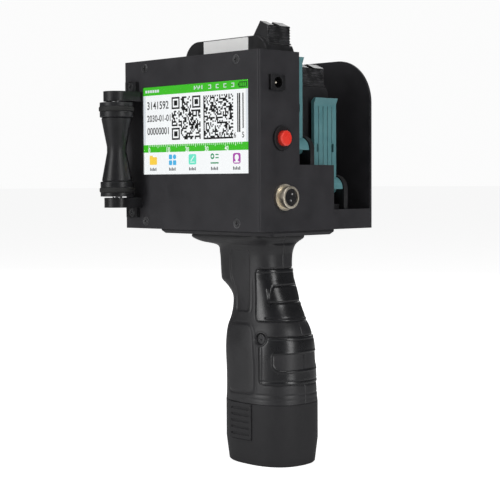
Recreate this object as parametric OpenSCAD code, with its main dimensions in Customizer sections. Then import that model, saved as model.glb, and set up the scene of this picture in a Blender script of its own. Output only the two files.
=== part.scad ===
// Hand-held date code inkjet printer: a sheet metal box on a pistol grip, with a slide-in battery.
// Millimetres, +Z up. The origin is the middle of the battery's flat base. The user looks along +Y
// at the screen, and the print heads fire towards -X.

/* [Box] */
// Width of the box
box_w = 121; // [112:1:150]
// Depth of the box, front plate to back plate
box_d = 96.3; // [88:0.1:120]
// Height of the box
box_h = 103.8; // [98:0.1:130]
// Thickness of the folded sheet
sheet = 1.5; // [1:0.1:2]
// Distance from the grip's axis to the box's right face
box_right = 38.5; // [34:0.5:44]
// Distance from the grip's axis to the front plate
box_front = 47; // [40:0.5:54]
// Radius of the back plate's upper right corner
back_corner_r = 27; // [5:1:40]
// Depth of the right wall where it is full height
wall_full_d = 32.7; // [30:0.1:34]
// Depth of the right wall up to the end of its middle step
wall_mid_d = 62.2; // [55:0.1:64]
// Height of the right wall's middle step
wall_mid_h = 38.5; // [30:0.5:39]
// Height of the right wall's low step
wall_low_h = 11.9; // [6:0.5:14]

/* [Screen] */
// Width of the visible screen
screen_w = 95; // [80:0.5:96]
// Height of the visible screen
screen_h = 53.9; // [45:0.5:56]
// Screen's right edge, in from the box's right face
screen_right = 8.9; // [7.5:0.1:9.5]
// Screen's lower edge, above the box's floor
screen_low = 33.4; // [28:0.1:36]

/* [Side fittings] */
// Width and height of the charging jack's face
jack_face = [11.6, 8.9];
// Bore of the charging jack
jack_bore = 6.4; // [4:0.1:6.5]
// Diameter of the print button's bezel
bezel_d = 15; // [12.5:0.1:16]
// Diameter of the print button's cap
cap_d = 9; // [7:0.1:9.6]
// Travel of the print button
cap_travel = 1.2; // [0.6:0.1:1.4]
// Outer diameter of the round connector's barrel
barrel_d = 13; // [11.8:0.1:13.4]
// Outer diameter of the round connector's flange
connector_flange_d = 15.4; // [14:0.1:16]

/* [Guide roller] */
// Length of the roller
roller_len = 58; // [48:1:60]
// Radius of the roller's ends
roller_r = 10.3; // [8:0.1:11]
// Radius of the rubber bands
band_r = 10.9; // [10.5:0.1:11.5]
// Radius of the roller's waist
waist_r = 6.1; // [5.5:0.1:8]
// Diameter of the roller's shaft
roller_shaft_d = 6; // [5:0.5:7]
// Distance from the front plate to the roller's axis
roller_out = 13.6; // [12:0.1:18]
// Width of the roller's arms
arm_w = 16; // [14:0.5:18]

/* [Cartridges] */
// Thickness of a cartridge
cart_t = 22.4; // [21:0.1:23]
// Length of a cartridge's body
cart_l = 73; // [60:0.5:76]
// Height of a cartridge's body
cart_h = 71.5; // [66:0.5:72]
// Depth step from one station to the next
stagger_y = 29.2; // [29:0.1:32]
// Height step from one station to the next
stagger_z = 23.2; // [18:0.1:23.5]
// Height of the nozzle plate, which is the height that one head prints
nozzle_h = 25.4; // [12.7:0.1:25.4]
// Width of a latch
latch_w = 19.2; // [16:0.1:19.6]
// Height of a latch above its hinge
latch_h = 54.7; // [48:0.1:55]
// Diameter of a latch's hinge pin
latch_pin_d = 3; // [2:0.5:3]

/* [Grip and battery] */
// Height of the box's floor above the battery's base
grip_h = 142.5; // [142.5:0.5:160]
// Wall of the grip's shells
grip_wall = 2.6; // [2:0.1:3]
// Length of the battery, left to right
battery_l = 58; // [56:0.5:62]
// Depth of the battery, front to back
battery_w = 47; // [46:0.5:50]
// Height of the battery below the grip
battery_h = 37.5; // [30:0.5:38]
// Travel of the trigger
trigger_travel = 4; // [2:0.5:5]
// Travel of the battery's release buttons
release_travel = 2; // [1:0.1:2.2]

/* [Fits] */
// Gap between a shaft and the bore that it turns in, on the radius
running_fit = 0.05; // [0.02:0.01:0.1]
// Gap between a sliding piece and its guide
slide_gap = 0.3; // [0.2:0.05:0.4]
// Gap between a fixed piece and its cut-out
seat_gap = 0.1; // [0.05:0.05:0.2]

/* [Hidden] */
$fn = 48;

eps = 0.01;
// Colours of the materials
black_steel = [0.13, 0.13, 0.14];
black_plastic = [0.09, 0.09, 0.1];
rubber_black = [0.05, 0.05, 0.06];
steel = [0.72, 0.72, 0.74];
teal = [0.36, 0.55, 0.57];
nickel = [0.78, 0.71, 0.6];
board_green = [0.05, 0.3, 0.14];
red = [0.91, 0.22, 0.17];

// Box frame: X runs from -box_w to 0, Y from 0 at the front plate, Z from 0 at the floor
inner_left = -box_w + sheet;
inner_back = box_d - sheet;
lip_h = 9;                      // height of the lips behind the front plate
lip_screw = 4.65;               // front screws, in from the plate's upper and lower edges
side_screw = 19;                // front screws, in from the plate's sides
screw_r = 1.5;                  // shank of the case screws
screw_head_r = 2.8;
front_screw_l = 6;
// Plate between the box and the grip
base_half_l = 50.9;
base_half_w = 27;
base_x = -60.4;
base_y = 46.5;
base_screw_r = 2;
base_screw_l = 7;
electronics_d = 18;             // front plate to the divider
divider_t = 1;

// Screen module
glass_inset = 0.2;              // cover glass behind the front plate's face
glass_t = 0.9;
lcd_t = 4.4;
lcd_side = [4.3, 5.2];          // module beyond the picture, left and right
lcd_ends = [9, 4];              // module beyond the picture, below and above
lcd_rim = 1.5;
board_y = 10;
board_t = 1.6;
board_x = [inner_left + 6, -20];
board_z = [14, 90];
driver_gap = 9;

// Side fittings, as Y and Z of their axes in the box frame
jack_at = [13.7, 85.4];
button_at = [18.2, 53.6];
connector_at = [19.3, 19.7];
jack_proud = 2;
bezel_proud = 1.5;
cap_proud = 2.8;
cap_floor = bezel_proud - slide_gap - 0.3;
button_tube_r = 3.8;
button_tube_l = 7.5;
stem_r = 1.3;
connector_proud = 6.8;
connector_flange_t = 1.8;
connector_thread_r = 5.8;
insert_r = 5.1;
nut_t = 2.2;

// Roller
roller_x = -box_w + arm_w / 2;
roller_z = 20;
arm_t = 6.1;
arm_gap = 0.8;
arm_low = roller_z - arm_gap - arm_t;
arm_high = roller_z + roller_len + arm_gap;
foot_w = 10;
foot_h = 6.3;
foot_t = 2.6;
bush_r = 4.5;
bush_l = 8;
flange_l = 9.8;
band_z = 2.4;
band_l = 3.2;
band_seat_r = roller_r - 0.8;
cone_l = 17.4;

// Station 1 is the front, upper one. Station 2 is one stagger back and down.
cart_y = electronics_d + divider_t + 0.7;
cart_x = -13;                   // cartridge's right face
cart_z = 43;                    // cartridge's floor
cart_r = 12.5;
snout_z = 50;
snout_h = 28.4;
snout_w = 15;
hinge_x = -10.3;
hinge_z = 47.3;
heel_r = 7.7;
ear_r = 8.5;
latch_t = 2.5;
latch_y = cart_y + 4.7;
latch_face = -8;
hub_r = 2.4;
near_ear_t = 1.7;
far_ear_t = 3.2;
stall_low = 35.2;
stall_top = cart_z - slide_gap;
pad_t = cart_x + slide_gap;
label_t = 0.3;
nozzle_t = 0.3;
snout_end = inner_left + 0.6;
stall_y = [cart_y + 0.5, latch_y + latch_w + slide_gap + far_ear_t + 0.5];
stall_x = [-box_w + 9, -6];
riser_x = [-100, -17];
contact_gap = 0.4;
contact_t = 1;
flare_h = 3.5;                  // flared lip at a latch's top
flare_out = 1.5;
finger_grip_w = 18.3;
finger_grip_y = cart_y + cart_t - finger_grip_w - 0.2;
rib_pitch = 1.65;

// Grip, in the part's own frame: height, front X, back X, half depth, squareness, wall
base_t = 3.6;
seam = battery_h + slide_gap;
flange_top = grip_h - base_t;
half_l = battery_l / 2;
half_w = battery_w / 2;
grip_stations = [
    [seam, -half_l, half_l, half_w - 0.2, 2.5, grip_wall],
    [42.5, -half_l, half_l - 0.2, half_w - 0.4, 2.45, grip_wall],
    [54, -half_l - 0.6, half_l - 0.8, half_w - 0.9, 2.4, grip_wall],
    [68, -30.6, 27.6, 22.2, 2.4, grip_wall],
    [76, -30.6, 26.7, 21.4, 2.4, grip_wall],
    [82.5, -30, 25, 19.9, 2.4, grip_wall],
    [88.5, -27.8, 21.6, 18, 2.4, grip_wall],
    [95, -26, 18, 16.8, 2.5, grip_wall],
    [101.5, -26.2, 15.4, 16, 2.6, grip_wall],
    [106.5, -30, 13.4, 15.8, 2.8, grip_wall],
    [110.5, -35.6, 12, 15.8, 2.9, grip_wall],
    [113, -36.6, 11.2, 15.7, 2.9, grip_wall],
    [119.5, -36.8, 10.2, 15.7, 3, grip_wall],
    [127, -36.8, 10, 16, 3.2, grip_wall],
    [132, -38, 11, 17, 3.5, grip_wall],
    [flange_top - 4.8, -49.4, 10.6, 19, 5, 5],
    [flange_top - 2.2, -54.2, 12.2, 21.3, 7, 8],
    [flange_top, -54.2, 12.2, 21.3, 7, 8]
];
ring_steps = 18;                // facets round half of the grip
trigger_z = [112, 131];
trigger_w = 13.8;
trigger_front = -38.6;
trigger_back = -24;
switch_front = -11;
switch_back = 6;
switch_w = 12;
peg_r = 2.2;
boss_r = 4.4;
// Shell screws: X, Z, side of the head (-1 front, 1 back), boss length, depth of the head's seat
handle_screw_at = [[-6, 100, 1, 14.9, 11.4], [10.4, 76.9, -1, 18.4, 17], [1.5, 106.5, 1, 13, 10]];
handle_screw_l = 20;
// Screws that hold the grip's flange to the base plate, as X and Y
flange_screw_at = [for (x = [-36, 5], y = [-18, 18]) [x, y]];
flange_screw_l = 6;
tower = [40.6, 22];
tower_top = 70;
socket_w = 20;
cell_r = 9.15;
taper = 1.7;                    // how far the battery's lower end draws in
taper_h = 15;
pad_lift = 0.5;                 // soft pads stand off the shells
pad_thick = 1;
tongue_y = -half_w + 0.2 + grip_wall + 0.8;
tongue_t = 1.2;
release_x = -3.1;
release_w = 18.6;
release_z = [15.5, battery_h];
release_t = 3;
release_depth = half_w - 16.5;

// ---- Frames and small shapes ----

module in_box() translate([box_right, -box_front, grip_h]) children();

module at_station(index) translate([0, (index - 1) * stagger_y, -(index - 1) * stagger_z]) children();

// Axis from a point on the right wall, pointing to +X
module side_axis(at) translate([0, at[0], at[1]]) rotate([0, 90, 0]) children();

// Axis from a point on the front plate, pointing to +Y
module front_axis(x, z) translate([x, 0, z]) rotate([-90, 0, 0]) children();

// Rounded rectangle with true arcs
module round_rect(l, w, r) {
    square([l - 2 * r, w], center = true);
    square([l, w - 2 * r], center = true);
    for (x = [-1, 1], y = [-1, 1])
        translate([x * (l / 2 - r), y * (w / 2 - r)]) circle(r);
}

// Profile in X and Z, extruded along +Y from y by depth
module side_profile(y, depth) translate([0, y + depth, 0]) rotate([90, 0, 0]) linear_extrude(depth) children();

// Compression spring along +Z
module coil(length, radius, wire, turns) {
    steps = 12 * turns;
    sides = 6;
    points = [
        for (i = [0 : steps], j = [0 : sides - 1])
            let (turn = i * 30, tilt = j * 360 / sides, r = radius + wire * cos(tilt))
            [r * cos(turn), r * sin(turn), wire + (length - 2 * wire) * i / steps + wire * sin(tilt)]
    ];
    walls = [
        for (i = [0 : steps - 1], j = [0 : sides - 1])
            let (a = i * sides + j, b = i * sides + (j + 1) % sides)
            [a, a + sides, b + sides, b]
    ];
    last = steps * sides;
    ends = [[for (j = [0 : sides - 1]) j], [for (j = [sides - 1 : -1 : 0]) last + j]];
    polyhedron(points, concat(walls, ends), convexity = 6);
}

// ---- Grip surface ----

// Smooth curve through the stations, four at a time
function blend(a, b, c, d, t) =
    0.5 * (2 * b + (c - a) * t + (2 * a - 5 * b + 4 * c - d) * t * t + (3 * b - a - 3 * c + d) * t * t * t);

function station(k) = grip_stations[max(0, min(len(grip_stations) - 1, k))];

function grip_levels(low, high) = [
    for (k = [low : high - 1], t = [0, 0.5])
        blend(station(k - 1), station(k), station(k + 1), station(k + 2), t),
    station(high)
];

function power(v, n) = sign(v) * pow(abs(v), 2 / n);

// Point on a level's outline, moved outwards by out
function grip_point(level, angle, out) =
    let (mid = (level[1] + level[2]) / 2, reach = (level[2] - level[1]) / 2)
    [
        mid + (reach + out) * power(cos(angle), level[4]),
        (level[3] + out) * power(sin(angle), level[4]),
        level[0]
    ];

// Skin of the grip between two angles, from inner to outer. A negative inner is the station's wall.
module grip_skin(low, high, from, to, inner, outer) {
    levels = grip_levels(low, high);
    step = 180 / ring_steps;
    count = (to - from) / step;
    ring = 2 * (count + 1);
    points = [
        for (level = levels)
            each concat(
                [for (i = [0 : count]) grip_point(level, from + i * step, outer)],
                [for (i = [count : -1 : 0]) grip_point(level, from + i * step, inner < 0 ? -level[5] : inner)]
            )
    ];
    walls = [
        for (k = [0 : len(levels) - 2], j = [0 : ring - 1])
            let (a = k * ring + j, b = k * ring + (j + 1) % ring)
            each [[a, a + ring, b], [b, a + ring, b + ring]]
    ];
    top = (len(levels) - 1) * ring;
    floor_quads = [
        for (i = [0 : count - 1])
            let (a = i, b = i + 1, c = ring - 2 - i, d = ring - 1 - i)
            each [[a, b, c], [a, c, d]]
    ];
    roof_quads = [for (face = floor_quads) [top + face[0], top + face[2], top + face[1]]];
    polyhedron(points, concat(walls, floor_quads, roof_quads), convexity = 6);
}

// ---- Box ----

module wall_outline() polygon([
    [sheet, 0], [inner_back, 0], [inner_back, wall_low_h], [wall_mid_d, wall_low_h],
    [wall_mid_d, wall_mid_h], [wall_full_d, wall_mid_h], [wall_full_d, box_h], [sheet, box_h]
]);

module each_front_screw()
    for (x = [-box_w + side_screw, -side_screw], z = [lip_screw, box_h - lip_screw])
        front_axis(x, z) children();

module each_bracket_screw()
    for (z = [arm_low - foot_h / 2, arm_high + arm_t + foot_h / 2]) front_axis(roller_x, z) children();

module front_shell() color(black_steel) in_box() difference() {
    union() {
        translate([-box_w, 0, 0]) cube([box_w - sheet, sheet, box_h]);
        translate([-sheet, 0, 0]) rotate([90, 0, 90]) linear_extrude(sheet) wall_outline();
        intersection() {
            translate([-sheet, sheet, 0]) cylinder(r = sheet, h = box_h);
            translate([-sheet, 0, 0]) cube([sheet, sheet, box_h]);
        }
    }
    translate([-screen_right - screen_w, -1, screen_low]) cube([screen_w, sheet + 2, screen_h]);
    each_front_screw() {
        translate([0, 0, -eps]) cylinder(r1 = screw_head_r + seat_gap, r2 = screw_r + seat_gap, h = sheet);
        translate([0, 0, -eps]) cylinder(r = screw_r + seat_gap, h = sheet + 1);
    }
    each_bracket_screw() translate([0, 0, -1]) cylinder(r = screw_r + seat_gap, h = sheet + 2);
    side_axis(jack_at) translate([0, 0, -sheet - 1]) linear_extrude(sheet + 2)
        square([jack_face[1] - 0.6 + 2 * seat_gap, jack_face[0] - 0.6 + 2 * seat_gap], center = true);
    side_axis(button_at) translate([0, 0, -sheet - 1])
        cylinder(d = bezel_d - 2.6 + 2 * seat_gap, h = sheet + 2);
    side_axis(connector_at) translate([0, 0, -sheet - 1])
        cylinder(r = connector_thread_r + seat_gap, h = sheet + 2);
}

module back_outline() difference() {
    translate([-box_w, 0]) square([box_w, box_h]);
    translate([-back_corner_r, box_h - back_corner_r]) difference() {
        square(back_corner_r + 1);
        circle(back_corner_r);
    }
}

module each_base_screw()
    for (x = [-base_half_l + 8, base_half_l - 8], y = [-base_half_w + 7, base_half_w - 7])
        translate([base_x + x, base_y + y, 0]) children();

module nozzle_window(index) at_station(index)
    translate([-box_w - 1, cart_y + (cart_t - snout_w) / 2, snout_z + 0.5])
        cube([sheet + 2, snout_w, snout_h - 1]);

module rear_shell() color(black_steel) in_box() difference() {
    union() {
        translate([-box_w, sheet, 0]) cube([sheet, inner_back - sheet, box_h]);
        side_profile(inner_back, sheet) back_outline();
        translate([inner_left, sheet, 0]) cube([box_w - 2 * sheet, inner_back - sheet, sheet]);
        translate([inner_left, sheet, sheet]) cube([box_w - 2 * sheet, sheet, lip_h]);
        translate([inner_left, sheet, box_h - sheet]) cube([box_w - 2 * sheet, electronics_d - 2, sheet]);
        translate([inner_left, sheet, box_h - sheet - lip_h]) cube([box_w - 2 * sheet, sheet, lip_h]);
    }
    nozzle_window(1);
    nozzle_window(2);
    each_front_screw() translate([0, 0, sheet / 2]) cylinder(r = screw_r + seat_gap, h = 2 * sheet);
    each_bracket_screw() cylinder(r = screw_r + seat_gap, h = 2 * sheet + 1);
    each_base_screw() translate([0, 0, -1]) cylinder(r = base_screw_r + seat_gap, h = sheet + 2);
    translate([base_x, base_y, -1]) cylinder(r = 7, h = sheet + 2);
}

module cross_recess() {
    for (turn = [0, 90]) rotate(turn) translate([-1.5, -0.3, -eps]) cube([3, 0.6, 0.9]);
}

module front_screws() color(steel) in_box() each_front_screw() difference() {
    union() {
        cylinder(r1 = screw_head_r, r2 = screw_r, h = sheet - 0.1);
        translate([0, 0, 0.2]) cylinder(r = screw_r, h = front_screw_l - 0.2);
    }
    cross_recess();
}

module chassis_plate() color(steel) in_box() {
    translate([inner_left, electronics_d, sheet])
        cube([box_w - sheet - 16.5, divider_t, box_h - 2 * sheet - 1]);
    translate([inner_left, electronics_d - 9, sheet]) cube([box_w - sheet - 26, 9, divider_t]);
}

module base_plate() color(black_steel) in_box() difference() {
    hull() {
        translate([base_x, base_y, -base_t / 2]) linear_extrude(base_t / 2)
            round_rect(2 * base_half_l, 2 * base_half_w, 2);
        translate([base_x, base_y, -base_t]) linear_extrude(0.2)
            round_rect(2 * base_half_l - base_t, 2 * base_half_w - base_t, 2);
    }
    each_base_screw() translate([0, 0, -base_t - 1]) cylinder(r = base_screw_r - seat_gap, h = base_t + 2);
    translate([base_x, base_y, -base_t - 1]) cylinder(r = 7, h = base_t + 2);
    for (at = flange_screw_at) translate([at[0] - box_right, at[1] + box_front, 0]) {
        translate([0, 0, -base_t - 1]) cylinder(r = screw_r + seat_gap, h = base_t + 2);
        translate([0, 0, -1.6])
            cylinder(r1 = screw_r + seat_gap, r2 = screw_head_r + seat_gap + 0.3, h = 1.6 + eps);
    }
}

module base_screws() color(steel) in_box() each_base_screw() {
    translate([0, 0, sheet]) cylinder(r = 3.6, h = 2.2);
    translate([0, 0, sheet - base_screw_l + 2]) cylinder(r = base_screw_r - seat_gap, h = base_screw_l - 2);
}

// ---- Screen and boards ----

module lcd_block(y, depth, grow)
    translate([-screen_right - screen_w - lcd_side[0] - grow, y, screen_low - lcd_ends[0] - grow])
        cube([
            screen_w + lcd_side[0] + lcd_side[1] + 2 * grow, depth,
            screen_h + lcd_ends[0] + lcd_ends[1] + 2 * grow
        ]);

// Block that fills the front plate's window
module window_block(y, depth)
    translate([-screen_right - screen_w + seat_gap, y, screen_low + seat_gap])
        cube([screen_w - 2 * seat_gap, depth, screen_h - 2 * seat_gap]);

module touch_glass() color([0.1, 0.1, 0.12]) in_box() window_block(glass_inset, glass_t);

module lcd_panel() color([0.85, 0.9, 0.95]) in_box() {
    window_block(glass_inset + glass_t, sheet + lcd_t / 2 - glass_inset - glass_t);
    lcd_block(sheet, lcd_t, 0);
}

module lcd_frame() color(steel) in_box() difference() {
    lcd_block(sheet, lcd_t + 1, lcd_rim);
    lcd_block(sheet - eps, lcd_t + eps, 0);
    lcd_block(sheet, lcd_t + 2, -6);
}

module main_board() color(board_green) in_box() {
    translate([board_x[0], board_y, board_z[0]])
        cube([board_x[1] - board_x[0], board_t, board_z[1] - board_z[0]]);
    for (chip = [[0.3, 0.55, 16], [0.62, 0.6, 12], [0.7, 0.25, 9], [0.25, 0.2, 8]])
        translate([
            board_x[0] + chip[0] * (board_x[1] - board_x[0]), board_y + board_t - eps,
            board_z[0] + chip[1] * (board_z[1] - board_z[0])
        ]) cube([chip[2], 1.4, chip[2]]);
}

module board_standoffs() color(nickel) in_box()
    for (x = [board_x[0] + 5, board_x[1] - 5], z = [board_z[0] + 5, board_z[1] - 5])
        translate([0, board_y + board_t, 0]) front_axis(x, z)
            cylinder(r = 2.5, h = electronics_d - board_y - board_t);

module driver_board() color(board_green) in_box() {
    translate([-105, inner_back - driver_gap - board_t, 20]) cube([60, board_t, 60]);
    for (x = [-92, -66]) translate([x, inner_back - driver_gap - eps, 42]) cube([12, 2, 12]);
}

module driver_standoffs() color(nickel) in_box()
    for (x = [-100, -50], z = [25, 75]) translate([0, inner_back - driver_gap, 0]) front_axis(x, z)
        cylinder(r = 2.5, h = driver_gap);

// ---- Side fittings ----

module dc_jack() color(black_plastic) in_box() side_axis(jack_at) difference() {
    union() {
        linear_extrude(jack_proud) square([jack_face[1], jack_face[0]], center = true);
        translate([0, 0, -12]) linear_extrude(12 + eps)
            square([jack_face[1] - 0.6, jack_face[0] - 0.6], center = true);
    }
    translate([0, 0, -9]) cylinder(d = jack_bore, h = 9 + jack_proud + 1);
}

module jack_pin() color(nickel) in_box() side_axis(jack_at) translate([0, 0, -9]) {
    cylinder(r = 0.95, h = 8.4);
    translate([0, 0, 8.4]) sphere(r = 0.95);
}

module button_bezel() color(black_plastic) in_box() side_axis(button_at) difference() {
    union() {
        cylinder(d1 = bezel_d, d2 = bezel_d - 0.8, h = bezel_proud);
        translate([0, 0, -sheet]) cylinder(d = bezel_d - 2.6, h = sheet + eps);
        translate([0, 0, -sheet - button_tube_l]) cylinder(r = button_tube_r, h = button_tube_l + eps);
    }
    translate([0, 0, cap_floor - cap_travel - 0.1]) cylinder(d = cap_d + slide_gap, h = 5);
    translate([0, 0, -sheet - button_tube_l + 1]) cylinder(r = button_tube_r - 1, h = button_tube_l - 1);
    translate([0, 0, -sheet - 1]) cylinder(r = stem_r + running_fit, h = 4);
}

module button_cap() color(red) in_box() side_axis(button_at) {
    translate([0, 0, cap_floor]) cylinder(d = cap_d, h = bezel_proud + cap_proud - 0.6 - cap_floor);
    translate([0, 0, bezel_proud + cap_proud - 0.6 - eps]) cylinder(d1 = cap_d, d2 = cap_d - 1.6, h = 0.6);
    translate([0, 0, -sheet - 2]) cylinder(r = stem_r, h = sheet + 2 + cap_floor + eps);
    translate([0, 0, -sheet - 2.8]) cylinder(r = button_tube_r - 1.3, h = 0.8 + eps);
}

module button_spring() color(steel) in_box() side_axis(button_at)
    translate([0, 0, -sheet - button_tube_l + 1]) coil(button_tube_l - 3.9, 1.9, 0.25, 4);

module connector_shell() color(nickel) in_box() side_axis(connector_at) difference() {
    union() {
        cylinder(d = connector_flange_d, h = connector_flange_t);
        translate([0, 0, connector_flange_t - eps])
            cylinder(d = barrel_d, h = connector_proud - connector_flange_t - 0.4);
        translate([0, 0, connector_proud - 0.4 - 2 * eps])
            cylinder(d1 = barrel_d, d2 = barrel_d - 0.8, h = 0.4);
        translate([0, 0, -9]) cylinder(r = connector_thread_r, h = 9 + eps);
    }
    translate([0, 0, -10]) cylinder(r = insert_r, h = 10 + connector_proud + 1);
}

module connector_insert() color(black_plastic) in_box() side_axis(connector_at) difference() {
    translate([0, 0, -8]) cylinder(r = insert_r, h = 8 + connector_proud - 1.1);
    rotate(-70) translate([insert_r - 0.8, 0, 1]) cylinder(r = 0.7, h = 5);
}

module connector_pins() color(steel) in_box() side_axis(connector_at) rotate(-14)
    for (x = [-1.9, 1.9]) translate([x, 0, connector_proud - 1.1]) {
        cylinder(r = 0.6, h = 0.8);
        translate([0, 0, 0.8]) sphere(r = 0.6);
    }

module connector_nut() color(nickel) in_box() side_axis(connector_at) difference() {
    translate([0, 0, -sheet - nut_t]) cylinder(r = 8.2, h = nut_t, $fn = 6);
    translate([0, 0, -sheet - nut_t - 1]) cylinder(r = connector_thread_r + running_fit, h = nut_t + 2);
}

// ---- Guide roller ----

module bracket(arm_z, foot_z) difference() {
    union() {
        translate([roller_x, -roller_out, arm_z]) cylinder(r = arm_w / 2, h = arm_t);
        translate([roller_x - arm_w / 2, -roller_out, arm_z]) cube([arm_w, roller_out, arm_t]);
        translate([roller_x - foot_w / 2, -foot_t, foot_z]) cube([foot_w, foot_t, foot_h + eps]);
    }
    translate([roller_x, -roller_out, arm_z - 1]) cylinder(d = roller_shaft_d, h = arm_t + 2);
    each_bracket_screw() translate([0, 0, -foot_t - 1]) cylinder(r = screw_r + seat_gap, h = foot_t + 2);
    each_bracket_screw() translate([0, 0, -foot_t - 1]) cylinder(r = screw_head_r + 0.3, h = 2.6);
}

module bracket_upper() color(black_steel) in_box() bracket(arm_high, arm_high + arm_t - eps);

module bracket_lower() color(black_steel) in_box() bracket(arm_low, arm_low - foot_h);

module bracket_screws() color(steel) in_box() each_bracket_screw() translate([0, 0, -foot_t + 1.6]) {
    difference() {
        translate([0, 0, -1.4]) cylinder(r = screw_head_r, h = 1.4);
        translate([0, 0, -1.4]) cross_recess();
    }
    translate([0, 0, -0.2]) cylinder(r = screw_r, h = foot_t - 1.4 + 2 * sheet);
}

module roller_shaft() color(steel) in_box()
    translate([roller_x, -roller_out, arm_low]) cylinder(d = roller_shaft_d, h = arm_high + arm_t - arm_low);

// Outline of one half, from the roller's end to its middle
function half_roller() = [
    [roller_r, 0], [roller_r, band_z], [band_seat_r, band_z], [band_seat_r, band_z + band_l],
    [roller_r, band_z + band_l], [roller_r, flange_l - 0.8], [roller_r - 1.4, flange_l - 0.4],
    [roller_r - 1.4, flange_l], [roller_r - 0.9, flange_l], [waist_r, flange_l + cone_l]
];

module roller_core() color(black_plastic) in_box() translate([roller_x, -roller_out, roller_z])
    rotate_extrude() polygon(concat(
        [[bush_r, 0]],
        half_roller(),
        [for (i = [len(half_roller()) - 1 : -1 : 0]) [half_roller()[i][0], roller_len - half_roller()[i][1]]],
        [[bush_r, roller_len]]
    ));

module roller_bands() color(rubber_black) in_box()
    for (z = [band_z, roller_len - band_z - band_l]) translate([roller_x, -roller_out, roller_z + z])
        rotate_extrude() polygon([
            [band_seat_r, 0], [band_r - 0.5, 0], [band_r, 0.7],
            [band_r, band_l - 0.7], [band_r - 0.5, band_l], [band_seat_r, band_l]
        ]);

module roller_bushes() color(nickel) in_box()
    for (z = [0, roller_len - bush_l]) translate([roller_x, -roller_out, roller_z + z]) difference() {
        cylinder(r = bush_r, h = bush_l);
        translate([0, 0, -1]) cylinder(r = roller_shaft_d / 2 + running_fit, h = bush_l + 2);
    }

// ---- Cartridge stations ----

module riser(index) in_box() {
    y0 = stall_y[0] + 0.3 + (index - 1) * stagger_y;
    width = stall_y[1] - stall_y[0] - 0.6;
    top = stall_low - (index - 1) * stagger_z;
    for (y = [y0, y0 + width - sheet])
        translate([riser_x[0], y, sheet]) cube([riser_x[1] - riser_x[0], sheet, top - sheet]);
    translate([riser_x[0], y0, top - sheet]) cube([riser_x[1] - riser_x[0], width, sheet]);
}

module riser_1() color(steel) riser(1);

module riser_2() color(steel) riser(2);

// An ear: round top over the hinge, cut off where the cartridge slides past
module ear_outline() difference() {
    union() {
        translate([hinge_x, hinge_z]) circle(ear_r);
        translate([hinge_x - ear_r, stall_low]) square([2 * ear_r, hinge_z - stall_low]);
    }
    translate([hinge_x - ear_r - 1, stall_low + 3]) square([cart_x + slide_gap - hinge_x + ear_r + 1, 30]);
}

module stall(index) in_box() at_station(index) difference() {
    union() {
        translate([stall_x[0], stall_y[0], stall_low])
            cube([stall_x[1] - stall_x[0], stall_y[1] - stall_y[0], stall_top - stall_low]);
        side_profile(latch_y - slide_gap - near_ear_t, near_ear_t) ear_outline();
        side_profile(latch_y + latch_w + slide_gap, far_ear_t) ear_outline();
        translate([-100, cart_y + (cart_t - snout_w) / 2, stall_top - eps])
            cube([12, snout_w, snout_z - stall_top - slide_gap]);
        translate([-86, cart_y + cart_t + contact_gap + contact_t, stall_low])
            cube([56, stall_y[1] - cart_y - cart_t - contact_gap - contact_t, 38]);
    }
    translate([hinge_x, latch_y - 10, hinge_z]) rotate([-90, 0, 0]) cylinder(d = latch_pin_d, h = latch_w + 20);
    translate([cart_x - 2, latch_y - slide_gap, stall_low + 3])
        cube([20, latch_w + 2 * slide_gap, 20]);
}

module stall_1() color(black_plastic) stall(1);

module stall_2() color(black_plastic) stall(2);

module contact_boards() color(board_green) in_box() for (index = [1, 2]) at_station(index)
    translate([-84, cart_y + cart_t + contact_gap, 50]) cube([22, contact_t, 20]);

module latch_pins() color(steel) in_box() for (index = [1, 2]) at_station(index)
    translate([hinge_x, latch_y - slide_gap - near_ear_t, hinge_z]) rotate([-90, 0, 0])
        cylinder(d = latch_pin_d, h = near_ear_t + far_ear_t + latch_w + 2 * slide_gap);

module latch(index) in_box() at_station(index) difference() {
    union() {
        side_profile(latch_y, latch_w) polygon([
            [latch_face - latch_t, hinge_z], [latch_face, hinge_z], [latch_face, hinge_z + latch_h - flare_h],
            [latch_face - latch_t, hinge_z + latch_h - flare_h]
        ]);
        side_profile(latch_y - 0.1, latch_w + 0.2) polygon([
            [latch_face - latch_t, hinge_z + latch_h - flare_h - eps],
            [latch_face, hinge_z + latch_h - flare_h - eps],
            [latch_face + flare_out, hinge_z + latch_h], [latch_face + flare_out - 1.8, hinge_z + latch_h],
            [latch_face - latch_t, hinge_z + latch_h - 2]
        ]);
        side_profile(latch_y, latch_w) intersection() {
            translate([hinge_x, hinge_z]) circle(heel_r);
            translate([hinge_x, hinge_z]) square(heel_r + 1);
        }
        side_profile(latch_y, latch_w) translate([hinge_x, hinge_z]) circle(hub_r);
    }
    translate([hinge_x, latch_y - 1, hinge_z]) rotate([-90, 0, 0])
        cylinder(r = latch_pin_d / 2 + running_fit, h = latch_w + 2);
    for (k = [1 : 4]) translate([latch_face - 0.6, latch_y + k * latch_w / 5 - 0.3, hinge_z + 10])
        cube([2, 0.6, latch_h - flare_h - 11.5]);
    for (y = [2.2, latch_w - 3.8]) translate([latch_face - latch_t - 1, latch_y + y, hinge_z + 22.2])
        cube([latch_t + 2, 1.6, 5.1]);
}

module latch_1() color(teal) latch(1);

module latch_2() color(teal) latch(2);

module pressure_pad(index) in_box() at_station(index)
    translate([pad_t, latch_y + latch_w / 2 - 5, hinge_z + 34]) cube([latch_face - latch_t - pad_t, 10, 8]);

module pressure_pad_1() color(rubber_black) pressure_pad(1);

module pressure_pad_2() color(rubber_black) pressure_pad(2);

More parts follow.
